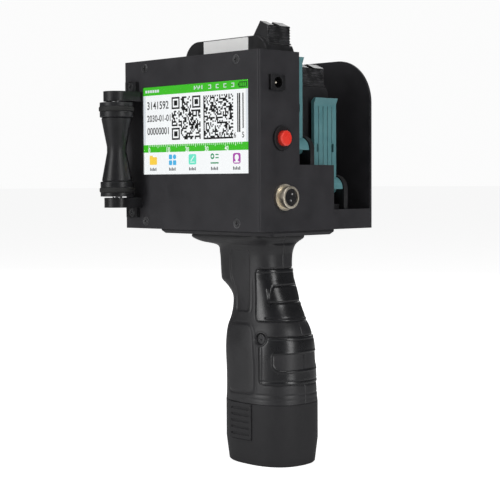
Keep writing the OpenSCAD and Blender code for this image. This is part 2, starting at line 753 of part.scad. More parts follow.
module cart_outline() {
    top = cart_z + cart_h;
    translate([cart_x - cart_l, cart_z]) square([cart_l, cart_h - cart_r]);
    translate([cart_x - cart_l + cart_r, cart_z]) square([cart_l - 2 * cart_r, cart_h]);
    for (x = [cart_x - cart_l + cart_r, cart_x - cart_r]) translate([x, top - cart_r]) circle(cart_r);
}

module grip_outline() {
    top = cart_z + cart_h;
    polygon([
        [cart_x - 20, top - 5], [cart_x - 16, top + 0.5], [cart_x - 10, top + 8.8], [cart_x - 3.5, top + 6],
        [cart_x - 3.5, top - 6.5], [cart_x - 2.6, top - 7.4], [cart_x - 2.6, top - 11.5], [cart_x - 8, top - 13]
    ]);
}

module cartridge(index) in_box() at_station(index) difference() {
    mid_y = cart_y + cart_t / 2;
    grip_top = cart_z + cart_h + 6;
    union() {
        side_profile(cart_y, cart_t) cart_outline();
        side_profile(finger_grip_y, finger_grip_w) grip_outline();
        translate([snout_end + nozzle_t, mid_y - snout_w / 2, snout_z])
            cube([cart_x - cart_l - snout_end - nozzle_t + 1, snout_w, snout_h]);
    }
    for (k = [1 : 7]) translate([cart_x - 4, finger_grip_y - 1, grip_top - k * rib_pitch])
        cube([2, finger_grip_w + 2, 0.6]);
    translate([cart_x - 12, finger_grip_y + 5, grip_top - 0.4]) cube([12, 5, 4]);
}

module cartridge_1() color(black_plastic) cartridge(1);

module cartridge_2() color(black_plastic) cartridge(2);

module label(index) in_box() at_station(index)
    translate([cart_x - 55.4, cart_y - label_t, cart_z + 18]) cube([39.3, label_t, cart_h - 18.5]);

module label_1() color("white") label(1);

module label_2() color("white") label(2);

module nozzle_plate(index) in_box() at_station(index)
    translate([snout_end, cart_y + cart_t / 2 - 5, snout_z + (snout_h - nozzle_h) / 2])
        cube([nozzle_t, 10, nozzle_h]);

module nozzle_plate_1() color(nickel) nozzle_plate(1);

module nozzle_plate_2() color(nickel) nozzle_plate(2);

// ---- Grip ----

// Axis along +Y through a point given as X and Z
module grip_axis(at, y) translate([at[0], y, at[1]]) rotate([-90, 0, 0]) children();

top_station = len(grip_stations) - 1;
// Pegs that locate the trigger switch and the battery socket: X, Z, inner end, outer end
peg_at = [
    [(switch_front + switch_back) / 2, 121.5, switch_w / 2, 14.6],
    [-12, 73.6, socket_w / 2, 20],
    [2, 73.6, socket_w / 2, 20]
];

module trigger_slot() translate([-60, -trigger_w / 2 - slide_gap, trigger_z[0] - slide_gap])
    cube([40, trigger_w + 2 * slide_gap, trigger_z[1] - trigger_z[0] + 2 * slide_gap]);

// What both shells share, built on the side towards +Y. Side is this shell's side.
module shell_half(side) difference() {
    union() {
        mirror([0, side < 0 ? 1 : 0, 0]) grip_skin(0, top_station, 0, 180, -1, 0);
        for (at = handle_screw_at) grip_axis(at, side < 0 ? -at[3] : 0) cylinder(r = boss_r, h = at[3]);
        for (at = peg_at) grip_axis(at, side < 0 ? -at[3] : at[2]) cylinder(r = peg_r, h = at[3] - at[2]);
    }
    for (at = handle_screw_at) {
        if (at[2] == side) {
            grip_axis(at, side < 0 ? -30 : at[4]) cylinder(r = 3.2, h = 30 - at[4]);
            grip_axis(at, side < 0 ? -20 : -1) cylinder(r = screw_r + seat_gap, h = 21);
        } else {
            grip_axis(at, side < 0 ? -handle_screw_l + at[4] - 1 : -1)
                cylinder(r = screw_r, h = handle_screw_l - at[4] + 2);
        }
    }
    for (at = flange_screw_at) translate([at[0], at[1], flange_top - flange_screw_l])
        cylinder(r = screw_r, h = 10);
    trigger_slot();
}

module handle_front() color(black_plastic) shell_half(-1);

module handle_back() color(black_plastic) shell_half(1);

module grip_pads() color(rubber_black) {
    grip_skin(1, 4, -60, 60, pad_lift, pad_thick);
    grip_skin(6, 10, -60, 60, pad_lift, pad_thick);
}

module handle_screws() color(steel) for (at = handle_screw_at) mirror([0, at[2] > 0 ? 1 : 0, 0]) {
    grip_axis(at, -at[4] - 0.2) cylinder(r = screw_r, h = handle_screw_l + 0.2);
    grip_axis(at, -at[4] - 2) difference() {
        cylinder(r = 2.9, h = 2);
        cross_recess();
    }
}

module flange_screws() color(steel) for (at = flange_screw_at)
    translate([at[0], at[1], grip_h - flange_screw_l]) {
        cylinder(r = screw_r, h = flange_screw_l - 0.2);
        translate([0, 0, flange_screw_l - 1.6]) cylinder(r1 = screw_r, r2 = screw_head_r, h = 1.4);
    }

module trigger_outline() {
    mid = (trigger_z[0] + trigger_z[1]) / 2;
    difference() {
        translate([trigger_front, trigger_z[0]])
            square([trigger_back - trigger_front, trigger_z[1] - trigger_z[0]]);
        translate([trigger_front - 21, mid - 1]) circle(r = 23, $fn = 96);
    }
}

module trigger() color(black_plastic) {
    side_profile(-trigger_w / 2, trigger_w) trigger_outline();
    translate([trigger_back - eps, -3, 118]) cube([5, 6, 7]);
}

module trigger_spring() color(steel) translate([trigger_back, 0, 121.5]) rotate([0, 90, 0])
    coil(switch_front - trigger_back, 5.6, 0.4, 5);

module trigger_switch() color(black_plastic)
    translate([switch_front, -switch_w / 2, trigger_z[0] + 0.5])
        cube([switch_back - switch_front, switch_w, trigger_z[1] - trigger_z[0] - 1]);

module battery_socket() color(black_plastic)
    translate([-16, -socket_w / 2, tower_top + slide_gap]) cube([21, socket_w, 6.6]);

// ---- Battery ----

function oval(l, w, n, count) = [
    for (i = [0 : count - 1])
        let (a = i * 360 / count) [l * power(cos(a), n), w * power(sin(a), n)]
];

module release_pocket() translate([
    release_x - release_w / 2 - slide_gap, -half_w - 5, release_z[0] - slide_gap
]) cube([release_w + 2 * slide_gap, 5 + release_depth, battery_h - release_z[0] + 1]);

module battery_case() color(black_plastic) difference() {
    union() {
        linear_extrude(1) polygon(oval(half_l - taper - 0.6, half_w - taper - 0.6, 2.5, 72));
        hull() {
            translate([0, 0, 0.6]) linear_extrude(0.1) polygon(oval(half_l - taper, half_w - taper, 2.5, 72));
            translate([0, 0, taper_h]) linear_extrude(0.1) polygon(oval(half_l, half_w, 2.5, 72));
        }
        translate([0, 0, taper_h]) linear_extrude(battery_h - taper_h) polygon(oval(half_l, half_w, 2.5, 72));
        translate([0, 0, battery_h - eps]) linear_extrude(tower_top - battery_h)
            round_rect(tower[0], tower[1], 4);
    }
    translate([0, 0, 2.5]) linear_extrude(battery_h - 5) round_rect(battery_l - 14, 27, 3);
    translate([0, 0, 2.5]) linear_extrude(tower_top - 4.5) round_rect(tower[0] - 3, tower[1] - 3, 3);
    release_pocket();
    mirror([0, 1, 0]) release_pocket();
}

module battery_cells() color([0.2, 0.35, 0.6])
    for (x = [-cell_r - 0.1, cell_r + 0.1]) translate([x, 0, 2.5]) cylinder(r = cell_r, h = 64);

module release_button() difference() {
    union() {
        translate([release_x - release_w / 2, -half_w - 0.6, release_z[0]])
            cube([release_w, release_t, release_z[1] - release_z[0]]);
        translate([release_x - 5, tongue_y, release_z[1] - 4]) cube([10, tongue_t, 7.5]);
        translate([release_x - 5, -half_w - 0.6, release_z[1] - 4])
            cube([10, tongue_y + tongue_t + half_w + 0.6, 3.6]);
    }
    for (k = [0 : 4]) translate([release_x - release_w / 2 + 1.6, -half_w - 1.6, release_z[0] + 2.4 + 3.9 * k])
        cube([release_w - 3.2, 1.7, 1.3]);
}

module release_front() color(black_plastic) release_button();

module release_back() color(black_plastic) mirror([0, 1, 0]) release_button();

module release_coil() translate([release_x, -half_w + release_t - 0.6, 24]) rotate([-90, 0, 0])
    coil(release_depth - release_t + 0.6, 3, 0.3, 3);

module release_spring_front() color(steel) release_coil();

module release_spring_back() color(steel) mirror([0, 1, 0]) release_coil();

front_shell();
rear_shell();
front_screws();
chassis_plate();
base_plate();
base_screws();
lcd_frame();
lcd_panel();
touch_glass();
main_board();
board_standoffs();
driver_board();
driver_standoffs();
dc_jack();
jack_pin();
connector_shell();
connector_insert();
connector_pins();
connector_nut();
button_bezel();
button_cap();
button_spring();
bracket_upper();
bracket_lower();
bracket_screws();
roller_shaft();
roller_core();
roller_bands();
roller_bushes();
riser_1();
riser_2();
stall_1();
stall_2();
contact_boards();
latch_pins();
latch_1();
latch_2();
pressure_pad_1();
pressure_pad_2();
cartridge_1();
cartridge_2();
label_1();
label_2();
nozzle_plate_1();
nozzle_plate_2();
handle_front();
handle_back();
grip_pads();
handle_screws();
flange_screws();
trigger();
trigger_spring();
trigger_switch();
battery_socket();
battery_case();
battery_cells();
release_front();
release_back();
release_spring_front();
release_spring_back();
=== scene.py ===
# %% [markdown]
# # A hand-held date code printer
# The printer is a folded steel box on a pistol grip. A touch screen faces the user, two ink
# cartridges stand behind it, and a roller keeps the print side at a fixed distance from the goods.
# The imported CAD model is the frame: it gives the size and the moving bodies, and each visible piece
# is either a CAD node with a worked finish or a detailed piece that stands in its place.

# %% Load the frame
import math

import bmesh
import bpy
import numpy as np
from mathutils import Euler, Matrix, Vector


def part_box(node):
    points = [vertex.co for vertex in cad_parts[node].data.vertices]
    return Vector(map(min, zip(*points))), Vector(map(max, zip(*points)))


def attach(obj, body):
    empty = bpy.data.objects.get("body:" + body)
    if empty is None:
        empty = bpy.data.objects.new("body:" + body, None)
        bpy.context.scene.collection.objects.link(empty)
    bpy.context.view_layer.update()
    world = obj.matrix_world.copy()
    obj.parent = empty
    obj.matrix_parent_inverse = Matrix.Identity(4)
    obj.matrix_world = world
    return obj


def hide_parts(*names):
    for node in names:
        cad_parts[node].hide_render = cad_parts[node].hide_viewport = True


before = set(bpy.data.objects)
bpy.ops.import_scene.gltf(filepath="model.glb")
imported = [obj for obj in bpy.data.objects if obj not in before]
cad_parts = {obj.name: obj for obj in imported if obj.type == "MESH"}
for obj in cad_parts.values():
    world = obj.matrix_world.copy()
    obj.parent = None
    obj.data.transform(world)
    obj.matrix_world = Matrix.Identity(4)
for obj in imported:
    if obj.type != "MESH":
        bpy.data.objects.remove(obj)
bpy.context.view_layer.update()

MM = 0.001

# %% [markdown]
# ## Camera, floor and light
# A product picture of a dark object lives from large, soft lights: what the eye reads as black
# plastic or black paint is mostly the reflection of the panels around it. Two tall panels stand
# beside the object, a wide one hangs above, a small one stands behind, and a pale room fills the
# rest. The eye of the camera sees floor and room brighter than their light on the object.

# %% Camera
CAMERA_PLACE = Vector((0.585, -0.5745, 0.1716))
CAMERA_TURN = math.radians(46.425)
CAMERA_DIP = math.radians(2.947)
CAMERA_ROLL = math.radians(-0.295)

lens = bpy.data.cameras.new("camera")
lens.lens = 96.33
lens.sensor_width = 36
camera = bpy.data.objects.new("camera", lens)
aim = Euler((math.pi / 2 - CAMERA_DIP, 0, CAMERA_TURN)).to_matrix()
aim = aim @ Matrix.Rotation(CAMERA_ROLL, 3, "Z")
camera.matrix_world = Matrix.Translation(CAMERA_PLACE) @ aim.to_4x4()
bpy.context.scene.collection.objects.link(camera)
bpy.context.scene.camera = camera
print("camera stands", round(CAMERA_PLACE.length, 3), "m from the battery's base")


# %% Helpers for picking things
def rest_hands():
    """Object mode with nothing selected."""
    if bpy.context.object and bpy.context.object.mode != "OBJECT":
        bpy.ops.object.mode_set(mode="OBJECT")
    bpy.ops.object.select_all(action="DESELECT")


def take(*pieces):
    """Selects only these pieces, the first one active."""
    rest_hands()
    for piece in pieces:
        piece.select_set(True)
    bpy.context.view_layer.objects.active = pieces[0]


def name_new(name):
    """Names the object that an operator has just added, and its mesh."""
    piece = bpy.context.object
    piece.name = name
    piece.data.name = name
    return piece


def dress(piece, finish):
    """Gives a piece one material."""
    piece.data.materials.clear()
    piece.data.materials.append(finish)


def set_place(piece):
    """Moves the place, turn and scale of a piece into its mesh."""
    take(piece)
    bpy.ops.object.transform_apply(location=True, rotation=True, scale=True)


def pick(piece, kind, test):
    """Opens a piece in edit mode with the faces or edges selected that pass the test."""
    take(piece)
    bpy.ops.object.mode_set(mode="EDIT")
    bpy.ops.mesh.select_mode(type=kind)
    bpy.ops.mesh.select_all(action="DESELECT")
    mesh = bmesh.from_edit_mesh(piece.data)
    for item in mesh.faces if kind == "FACE" else mesh.edges:
        if kind == "FACE":
            chosen = test(item.calc_center_median(), item.normal)
        else:
            start, end = (v.co for v in item.verts)
            chosen = test((start + end) / 2, (end - start).normalized())
        if chosen:
            item.select_set(True)
    bmesh.update_edit_mesh(piece.data)


def put_down():
    """Back to object mode."""
    bpy.ops.object.mode_set(mode="OBJECT")


# %% Floor
def camera_switch(tree, lighting, seen, socket):
    """Sends one value to the rays that light the object and another to the camera's rays."""
    is_camera = tree.nodes.new("ShaderNodeLightPath").outputs["Is Camera Ray"]
    switch = tree.nodes.new("ShaderNodeMapRange")
    switch.inputs["To Min"].default_value = lighting
    switch.inputs["To Max"].default_value = seen
    tree.links.new(is_camera, switch.inputs["Value"])
    tree.links.new(switch.outputs["Result"], socket)


FLOOR_SIZE = 60
rest_hands()
bpy.ops.mesh.primitive_plane_add(size=FLOOR_SIZE, location=(0, 0, 0))
floor = name_new("floor")
paper = bpy.data.materials.new("floor_paper")
paper.use_nodes = True
sheet_shader = paper.node_tree.nodes["Principled BSDF"]
sheet_shader.inputs["Base Color"].default_value = (0.7, 0.7, 0.7, 1)
sheet_shader.inputs["Roughness"].default_value = 0.95
sheet_shader.inputs["Specular IOR Level"].default_value = 0.1
sheet_shader.inputs["Emission Color"].default_value = (1, 1, 1, 1)
camera_switch(paper.node_tree, 0.06, 0.86, sheet_shader.inputs["Emission Strength"])
floor.data.materials.append(paper)


# %% Lights
def light_panel(name, place, aim_at, width, height, power):
    lamp = bpy.data.lights.new(name, "AREA")
    lamp.shape = "RECTANGLE"
    lamp.size, lamp.size_y, lamp.energy = width, height, power
    panel = bpy.data.objects.new(name, lamp)
    back = (Vector(place) - Vector(aim_at)).normalized()
    panel.matrix_world = Matrix.Translation(place) @ back.to_track_quat("Z", "Y").to_matrix().to_4x4()
    bpy.context.scene.collection.objects.link(panel)


MIDDLE = (-0.02, 0, 0.15)
light_panel("left_panel", (-0.35, -1.3, 0.55), MIDDLE, 0.5, 1.1, 9.5)
light_panel("right_panel", (1.35, -0.05, 0.5), MIDDLE, 0.5, 1.1, 9)
light_panel("top_panel", (0.1, -0.2, 1.5), MIDDLE, 1.2, 1.0, 7)
light_panel("back_panel", (-0.7, 1.1, 0.8), MIDDLE, 0.8, 0.8, 5)
room = bpy.data.worlds.new("room")
room.use_nodes = True
sky = room.node_tree.nodes["Background"]
sky.inputs["Color"].default_value = (1, 1, 1, 1)
camera_switch(room.node_tree, 0.1, 0.97, sky.inputs["Strength"])
bpy.context.scene.world = room
bpy.context.scene.view_settings.view_transform = "Standard"
print("light panels:", len(bpy.data.lights))

# %% [markdown]
# ## Shared effects
# No real surface is one flat colour. Four small node groups do what every finish needs: cloudy
# tone and fine grain, wear where an edge is rubbed, dust that settles on what looks up, and
# hairline scratches. Each group is built once and placed in every material with its own values.


# %% Node group tools
def new_group(name, inputs, outputs):
    group = bpy.data.node_groups.new(name, "ShaderNodeTree")
    for label, value in inputs:
        socket = group.interface.new_socket(label, in_out="INPUT", socket_type="NodeSocketFloat")
        socket.default_value = value
    for label in outputs:
        group.interface.new_socket(label, in_out="OUTPUT", socket_type="NodeSocketFloat")
    return group, group.nodes.new("NodeGroupInput"), group.nodes.new("NodeGroupOutput")


def math_node(tree, action, first, second, clamp=False):
    """A Math node. Each of the two inputs is a number or a socket."""
    node = tree.nodes.new("ShaderNodeMath")
    node.operation = action
    node.use_clamp = clamp
    for socket, value in zip(node.inputs, (first, second)):
        if isinstance(value, bpy.types.NodeSocket):
            tree.links.new(value, socket)
        else:
            socket.default_value = value
    return node.outputs[0]


def noise_node(tree, scale, detail=2.0, stretch=None):
    """Noise on Object coordinates. Scale is in waves per metre."""
    place = tree.nodes.new("ShaderNodeTexCoord").outputs["Object"]
    if stretch:
        mapping = tree.nodes.new("ShaderNodeMapping")
        mapping.inputs["Scale"].default_value = stretch
        tree.links.new(place, mapping.inputs["Vector"])
        place = mapping.outputs["Vector"]
    noise = tree.nodes.new("ShaderNodeTexNoise")
    tree.links.new(place, noise.inputs["Vector"])
    if isinstance(scale, bpy.types.NodeSocket):
        tree.links.new(scale, noise.inputs["Scale"])
    else:
        noise.inputs["Scale"].default_value = scale
    noise.inputs["Detail"].default_value = detail
    return noise.outputs["Fac"]


def spread(tree, value, low, high, to_low=0.0, to_high=1.0):
    """A clamped Map Range."""
    node = tree.nodes.new("ShaderNodeMapRange")
    tree.links.new(value, node.inputs["Value"])
    for label, number in zip(("From Min", "From Max", "To Min", "To Max"), (low, high, to_low, to_high)):
        node.inputs[label].default_value = number
    return node.outputs["Result"]


# %% Grain, wear, dust and scratches
def send_mask(group, first, second, entry, leave):
    """Multiplies two masks and the group's Amount, and sends the product out."""
    mask = math_node(group, "MULTIPLY", first, second)
    mask = math_node(group, "MULTIPLY", mask, entry.outputs["Amount"], True)
    group.links.new(mask, leave.inputs["Mask"])


grain_group, entry, leave = new_group("grain", [("Scale", 1500.0)], ["Fine", "Cloud"])
grain_group.links.new(noise_node(grain_group, entry.outputs["Scale"]), leave.inputs["Fine"])
cloud = noise_node(grain_group, math_node(grain_group, "MULTIPLY", entry.outputs["Scale"], 0.03), 4)
grain_group.links.new(spread(grain_group, cloud, 0.3, 0.7), leave.inputs["Cloud"])

wear_group, entry, leave = new_group("edge_wear", [("Radius", 0.0006), ("Amount", 1.0)], ["Mask"])
soft = wear_group.nodes.new("ShaderNodeBevel")
soft.samples = 4
wear_group.links.new(entry.outputs["Radius"], soft.inputs["Radius"])
true_way = wear_group.nodes.new("ShaderNodeNewGeometry").outputs["Normal"]
turn = wear_group.nodes.new("ShaderNodeVectorMath")
turn.operation = "DOT_PRODUCT"
wear_group.links.new(soft.outputs["Normal"], turn.inputs[0])
wear_group.links.new(true_way, turn.inputs[1])
edge = spread(wear_group, turn.outputs["Value"], 0.995, 0.86)
patchy = spread(wear_group, noise_node(wear_group, 260, 4), 0.42, 0.62)
send_mask(wear_group, edge, patchy, entry, leave)

dust_group, entry, leave = new_group("dust", [("Amount", 1.0)], ["Mask"])
up = dust_group.nodes.new("ShaderNodeSeparateXYZ")
dust_group.links.new(dust_group.nodes.new("ShaderNodeNewGeometry").outputs["Normal"], up.inputs[0])
looks_up = spread(dust_group, up.outputs["Z"], 0.35, 0.95)
specks = spread(dust_group, noise_node(dust_group, 900, 5), 0.5, 0.8)
send_mask(dust_group, looks_up, specks, entry, leave)

scratch_group, entry, leave = new_group("scratches", [("Amount", 1.0)], ["Mask"])
lines = spread(scratch_group, noise_node(scratch_group, 60, 3, (1, 1, 30)), 0.66, 0.72)
places = spread(scratch_group, noise_node(scratch_group, 35, 1), 0.5, 0.65)
send_mask(scratch_group, lines, places, entry, leave)
print("shared groups:", [g.name for g in bpy.data.node_groups])


# %% A finish from its numbers
WEAR_RADIUS = 0.0007
DUST_COLOUR = (0.32, 0.31, 0.29)


def place_group(tree, group, **values):
    node = tree.nodes.new("ShaderNodeGroup")
    node.node_tree = group
    for label, value in values.items():
        node.inputs[label].default_value = value
    return node


def mix_colour(tree, mask, first, second):
    node = tree.nodes.new("ShaderNodeMix")
    node.data_type = "RGBA"
    tree.links.new(mask, node.inputs["Factor"])
    for label, value in (("A", first), ("B", second)):
        socket = next(s for s in node.inputs if s.name == label and s.type == "RGBA")
        if isinstance(value, bpy.types.NodeSocket):
            tree.links.new(value, socket)
        else:
            socket.default_value = (*value, 1)
    return next(s for s in node.outputs if s.type == "RGBA")


def new_material(name):
    material = bpy.data.materials.new(name)
    material.use_nodes = True
    return material, material.node_tree, material.node_tree.nodes["Principled BSDF"]


def make_finish(name, dark, light, rough, grain=1500.0, bump=0.1, depth=0.00005, wear=0.3,
                worn=(0.12, 0.12, 0.12), rounding=0.0003, metal=0.0, dust=0.15, scratch=0.1,
                coat=0.0, shine=0.5):
    """Colours are from cloud low to cloud high, rough is (smoothest, roughest)."""
    material, tree, shader = new_material(name)
    grains = place_group(tree, grain_group, Scale=grain)
    edges = place_group(tree, wear_group, Radius=WEAR_RADIUS, Amount=wear)
    settled = place_group(tree, dust_group, Amount=dust)
    hair = place_group(tree, scratch_group, Amount=scratch)
    tone = mix_colour(tree, grains.outputs["Cloud"], dark, light)
    tone = mix_colour(tree, edges.outputs["Mask"], tone, worn)
    tone = mix_colour(tree, hair.outputs["Mask"], tone, worn)
    tone = mix_colour(tree, settled.outputs["Mask"], tone, DUST_COLOUR)
    tree.links.new(tone, shader.inputs["Base Color"])
    half = math_node(tree, "MULTIPLY", grains.outputs["Fine"], 0.5)
    blend = math_node(tree, "ADD", half, math_node(tree, "MULTIPLY", grains.outputs["Cloud"], 0.5))
    gloss = spread(tree, blend, 0.2, 0.8, rough[0], rough[1])
    gloss = math_node(tree, "ADD", gloss, math_node(tree, "MULTIPLY", settled.outputs["Mask"], 0.3), True)
    tree.links.new(gloss, shader.inputs["Roughness"])
    shader.inputs["Metallic"].default_value = metal
    shader.inputs["Coat Weight"].default_value = coat
    shader.inputs["Specular IOR Level"].default_value = shine
    relief = tree.nodes.new("ShaderNodeBump")
    relief.inputs["Strength"].default_value = bump
    relief.inputs["Distance"].default_value = depth
    tree.links.new(grains.outputs["Fine"], relief.inputs["Height"])
    if rounding:
        soft_edge = tree.nodes.new("ShaderNodeBevel")
        soft_edge.samples = 4
        soft_edge.inputs["Radius"].default_value = rounding
        tree.links.new(soft_edge.outputs["Normal"], relief.inputs["Normal"])
    tree.links.new(relief.outputs["Normal"], shader.inputs["Normal"])
    return material


# %% [markdown]
# ## The finishes
# Powder coat is a baked plastic film with a fine orange-peel relief. Moulded parts carry the
# spark-eroded texture of their mould. The soft grip is a smoother rubber that shines where hands
# polish it. Zinc, nickel and the board are seen only in small places, but each has its own grain.

# %% Finishes
powder_coat = make_finish("powder_coat", (0.0225, 0.0218, 0.025), (0.031, 0.030, 0.034), (0.42, 0.62),
                          grain=2600, bump=0.35, depth=0.00006, wear=0.35, worn=(0.09, 0.09, 0.095),
                          shine=0.3)
satin_black = make_finish("satin_black", (0.010, 0.010, 0.011), (0.018, 0.018, 0.020), (0.28, 0.46),
                          grain=3200, bump=0.2, wear=0.5, worn=(0.07, 0.07, 0.075), shine=0.3)
moulded_black = make_finish("moulded_black", (0.011, 0.011, 0.012), (0.018, 0.018, 0.020), (0.40, 0.58),
                            grain=3800, bump=0.35, wear=0.45, worn=(0.06, 0.06, 0.065), shine=0.3)
grip_shell = make_finish("grip_shell", (0.015, 0.0148, 0.0165), (0.022, 0.0215, 0.024), (0.40, 0.55),
                         grain=3000, bump=0.25, wear=0.3, worn=(0.06, 0.06, 0.065), rounding=0)
grip_soft = make_finish("grip_soft", (0.008, 0.0083, 0.0095), (0.013, 0.013, 0.015), (0.24, 0.36),
                        grain=2200, bump=0.12, wear=0.15, worn=(0.05, 0.05, 0.05), rounding=0)
battery_black = make_finish("battery_black", (0.020, 0.0195, 0.0215), (0.027, 0.0265, 0.0285), (0.5, 0.68),
                            grain=3600, bump=0.4, wear=0.35, worn=(0.07, 0.07, 0.075), shine=0.3)
screw_black = make_finish("screw_black", (0.05, 0.05, 0.052), (0.09, 0.09, 0.094), (0.25, 0.42),
                          grain=4000, bump=0.15, wear=0.9, worn=(0.25, 0.25, 0.26), metal=0.6)
cartridge_black = make_finish("cartridge_black", (0.010, 0.010, 0.011), (0.018, 0.018, 0.020), (0.30, 0.45),
                              grain=3800, bump=0.25, wear=1.0, worn=(0.13, 0.13, 0.135), shine=0.4)
rubber = make_finish("band_rubber", (0.007, 0.007, 0.007), (0.014, 0.014, 0.014), (0.6, 0.8),
                     grain=2600, bump=0.3, wear=0.3, worn=(0.04, 0.04, 0.04))
teal = make_finish("teal_plastic", (0.085, 0.225, 0.245), (0.115, 0.275, 0.295), (0.34, 0.48),
                   grain=3000, bump=0.15, wear=0.35, worn=(0.3, 0.46, 0.47), dust=0.1)
red = make_finish("red_plastic", (0.88, 0.030, 0.018), (0.96, 0.055, 0.034), (0.22, 0.34),
                  grain=2800, bump=0.08, wear=0.4, worn=(0.9, 0.22, 0.18), dust=0.05, coat=0.2)
nickel = make_finish("nickel", (0.80, 0.72, 0.58), (0.94, 0.87, 0.73), (0.26, 0.42), grain=2400, bump=0.06,
                     wear=0.5, worn=(0.9, 0.87, 0.8), metal=1.0, dust=0.03, scratch=0.3)
zinc = make_finish("zinc_steel", (0.5, 0.5, 0.52), (0.66, 0.66, 0.67), (0.25, 0.42), grain=2000, bump=0.08,
                   wear=0.4, worn=(0.8, 0.8, 0.8), metal=1.0)
board = make_finish("board_green", (0.008, 0.10, 0.04), (0.015, 0.15, 0.06), (0.25, 0.4), grain=1200)
paper_label = make_finish("label_paper", (0.93, 0.93, 0.92), (0.98, 0.98, 0.97), (0.45, 0.6), grain=1600,
                          bump=0.05, wear=0.2, worn=(0.55, 0.55, 0.52), dust=0.05, scratch=0.05)
aluminium = make_finish("aluminium", (0.6, 0.6, 0.61), (0.72, 0.72, 0.73), (0.2, 0.35), metal=1.0)
cell_wrap = make_finish("cell_wrap", (0.03, 0.09, 0.28), (0.05, 0.12, 0.34), (0.3, 0.4))
print("finishes:", len(bpy.data.materials))

# %% [markdown]
# ## Rounded copies of the CAD nodes
# A CAD edge is perfectly sharp and catches no light. Real sheet, castings and mouldings have a small
# radius, and the thin highlight along it is what makes a part look made. A copy of the node has its
# triangles merged back into faces, a narrow bevel is laid along its sharp edges, and the copy stands
# for the node.


# %% Rounding a node
MERGE_GAP = 0.002 * MM
FLAT_ANGLE = math.radians(0.6)
SHARP_ANGLE = math.radians(32)


def rounded(node, width, body, finish, steps=2, join=True):
    """A copy of a node with a bevel of this width in millimetres along its sharp edges."""
    piece = bpy.data.objects.new(node + "_made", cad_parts[node].data.copy())
    bpy.context.scene.collection.objects.link(piece)
    take(piece)
    bpy.ops.object.mode_set(mode="EDIT")
    bpy.ops.mesh.select_all(action="SELECT")
    bpy.ops.mesh.remove_doubles(threshold=MERGE_GAP)
    if join:
        bpy.ops.mesh.dissolve_limited(angle_limit=FLAT_ANGLE)
    put_down()
    bevel = piece.modifiers.new("soft edges", "BEVEL")
    bevel.width = width * MM
    bevel.segments = steps
    bevel.limit_method = "ANGLE"
    bevel.angle_limit = SHARP_ANGLE
    bevel.use_clamp_overlap = True
    bevel.miter_outer = "MITER_ARC"
    bpy.ops.object.modifier_apply(modifier=bevel.name)
    bpy.ops.object.shade_smooth_by_angle(angle=SHARP_ANGLE)
    even = piece.modifiers.new("even shading", "WEIGHTED_NORMAL")
    even.keep_sharp = True
    bpy.ops.object.modifier_apply(modifier=even.name)
    dress(piece, finish)
    low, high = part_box(node)
    co = np.array([v.co for v in piece.data.vertices])
    out = max((np.array(low) - co.min(0)).max(), (co.max(0) - np.array(high)).max()) / MM
    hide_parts(node)
    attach(piece, body)
    print(f"{piece.name}: {len(piece.data.polygons)} faces, {out:.3f} mm outside its node")
    return piece


rounded("front_shell", 0.3, "case", powder_coat)
rounded("rear_shell", 0.3, "case", powder_coat)
rounded("base_plate", 0.4, "case", powder_coat)
for end in ("upper", "lower"):
    rounded("bracket_" + end, 0.4, "case", satin_black)
rounded("roller_core", 0.25, "roller", satin_black)
rounded("roller_bands", 0.2, "roller", rubber)
rounded("dc_jack", 0.2, "case", satin_black)
rounded("button_bezel", 0.2, "case", satin_black)
rounded("button_cap", 0.2, "button", red, steps=3)
rounded("connector_shell", 0.15, "case", nickel)
rounded("connector_insert", 0.1, "case", satin_black)
rounded("trigger", 0.8, "trigger", moulded_black, steps=3)
for number, place in (("1", "upper"), ("2", "lower")):
    rounded("stall_" + number, 0.35, "case", moulded_black)
    rounded("latch_" + number, 0.2, "latch_" + place, teal, join=False)
    rounded("cartridge_" + number, 0.2, "cartridge_" + place, cartridge_black)
rounded("battery_case", 0.5, "battery", battery_black)
rounded("release_front", 0.18, "release_button_front", battery_black)
rounded("release_back", 0.18, "release_button_back", battery_black)

# %% Finishes for the nodes that keep their shape
PLAIN_NODES = {
    "front_screws": screw_black, "bracket_screws": screw_black, "handle_screws": screw_black,
    "flange_screws": zinc, "base_screws": zinc, "chassis_plate": zinc, "lcd_frame": zinc,
    "riser_1": zinc, "riser_2": zinc, "latch_pins": zinc, "roller_shaft": zinc, "button_spring": zinc,
    "trigger_spring": zinc, "release_spring_front": zinc, "release_spring_back": zinc,
    "connector_pins": zinc, "connector_nut": nickel, "jack_pin": nickel, "board_standoffs": nickel,
    "driver_standoffs": nickel, "roller_bushes": nickel, "nozzle_plate_1": nickel,
    "nozzle_plate_2": nickel, "main_board": board, "driver_board": board, "contact_boards": board,
    "pressure_pad_1": rubber, "pressure_pad_2": rubber, "label_1": paper_label, "label_2": paper_label,
    "trigger_switch": moulded_black, "battery_socket": moulded_black, "battery_cells": cell_wrap,
    "lcd_panel": aluminium,
}
for node, finish in PLAIN_NODES.items():
    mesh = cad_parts[node].data
    for index in range(len(mesh.materials)):
        mesh.materials[index] = finish
    if not mesh.materials:
        mesh.materials.append(finish)
print("nodes with a finish:", len(PLAIN_NODES))

# %% [markdown]
# ## The grip
# The grip is a clamshell: two moulded halves screwed together, their walls about 2 mm thick. Its
# section changes all the way up, from a rounded square at the battery through a narrow waist for the
# fingers to a flange under the box. Box modelling would need many loops, so each half starts as a grid
# whose rows are laid on smooth sections, and the moulded panels, grooves and screw seats are pressed
# into it by moving its vertices along the surface normal. Solidify then gives the wall. It follows
# the surface too, so beside the trigger's slot its inner edge leans a little into the trigger.

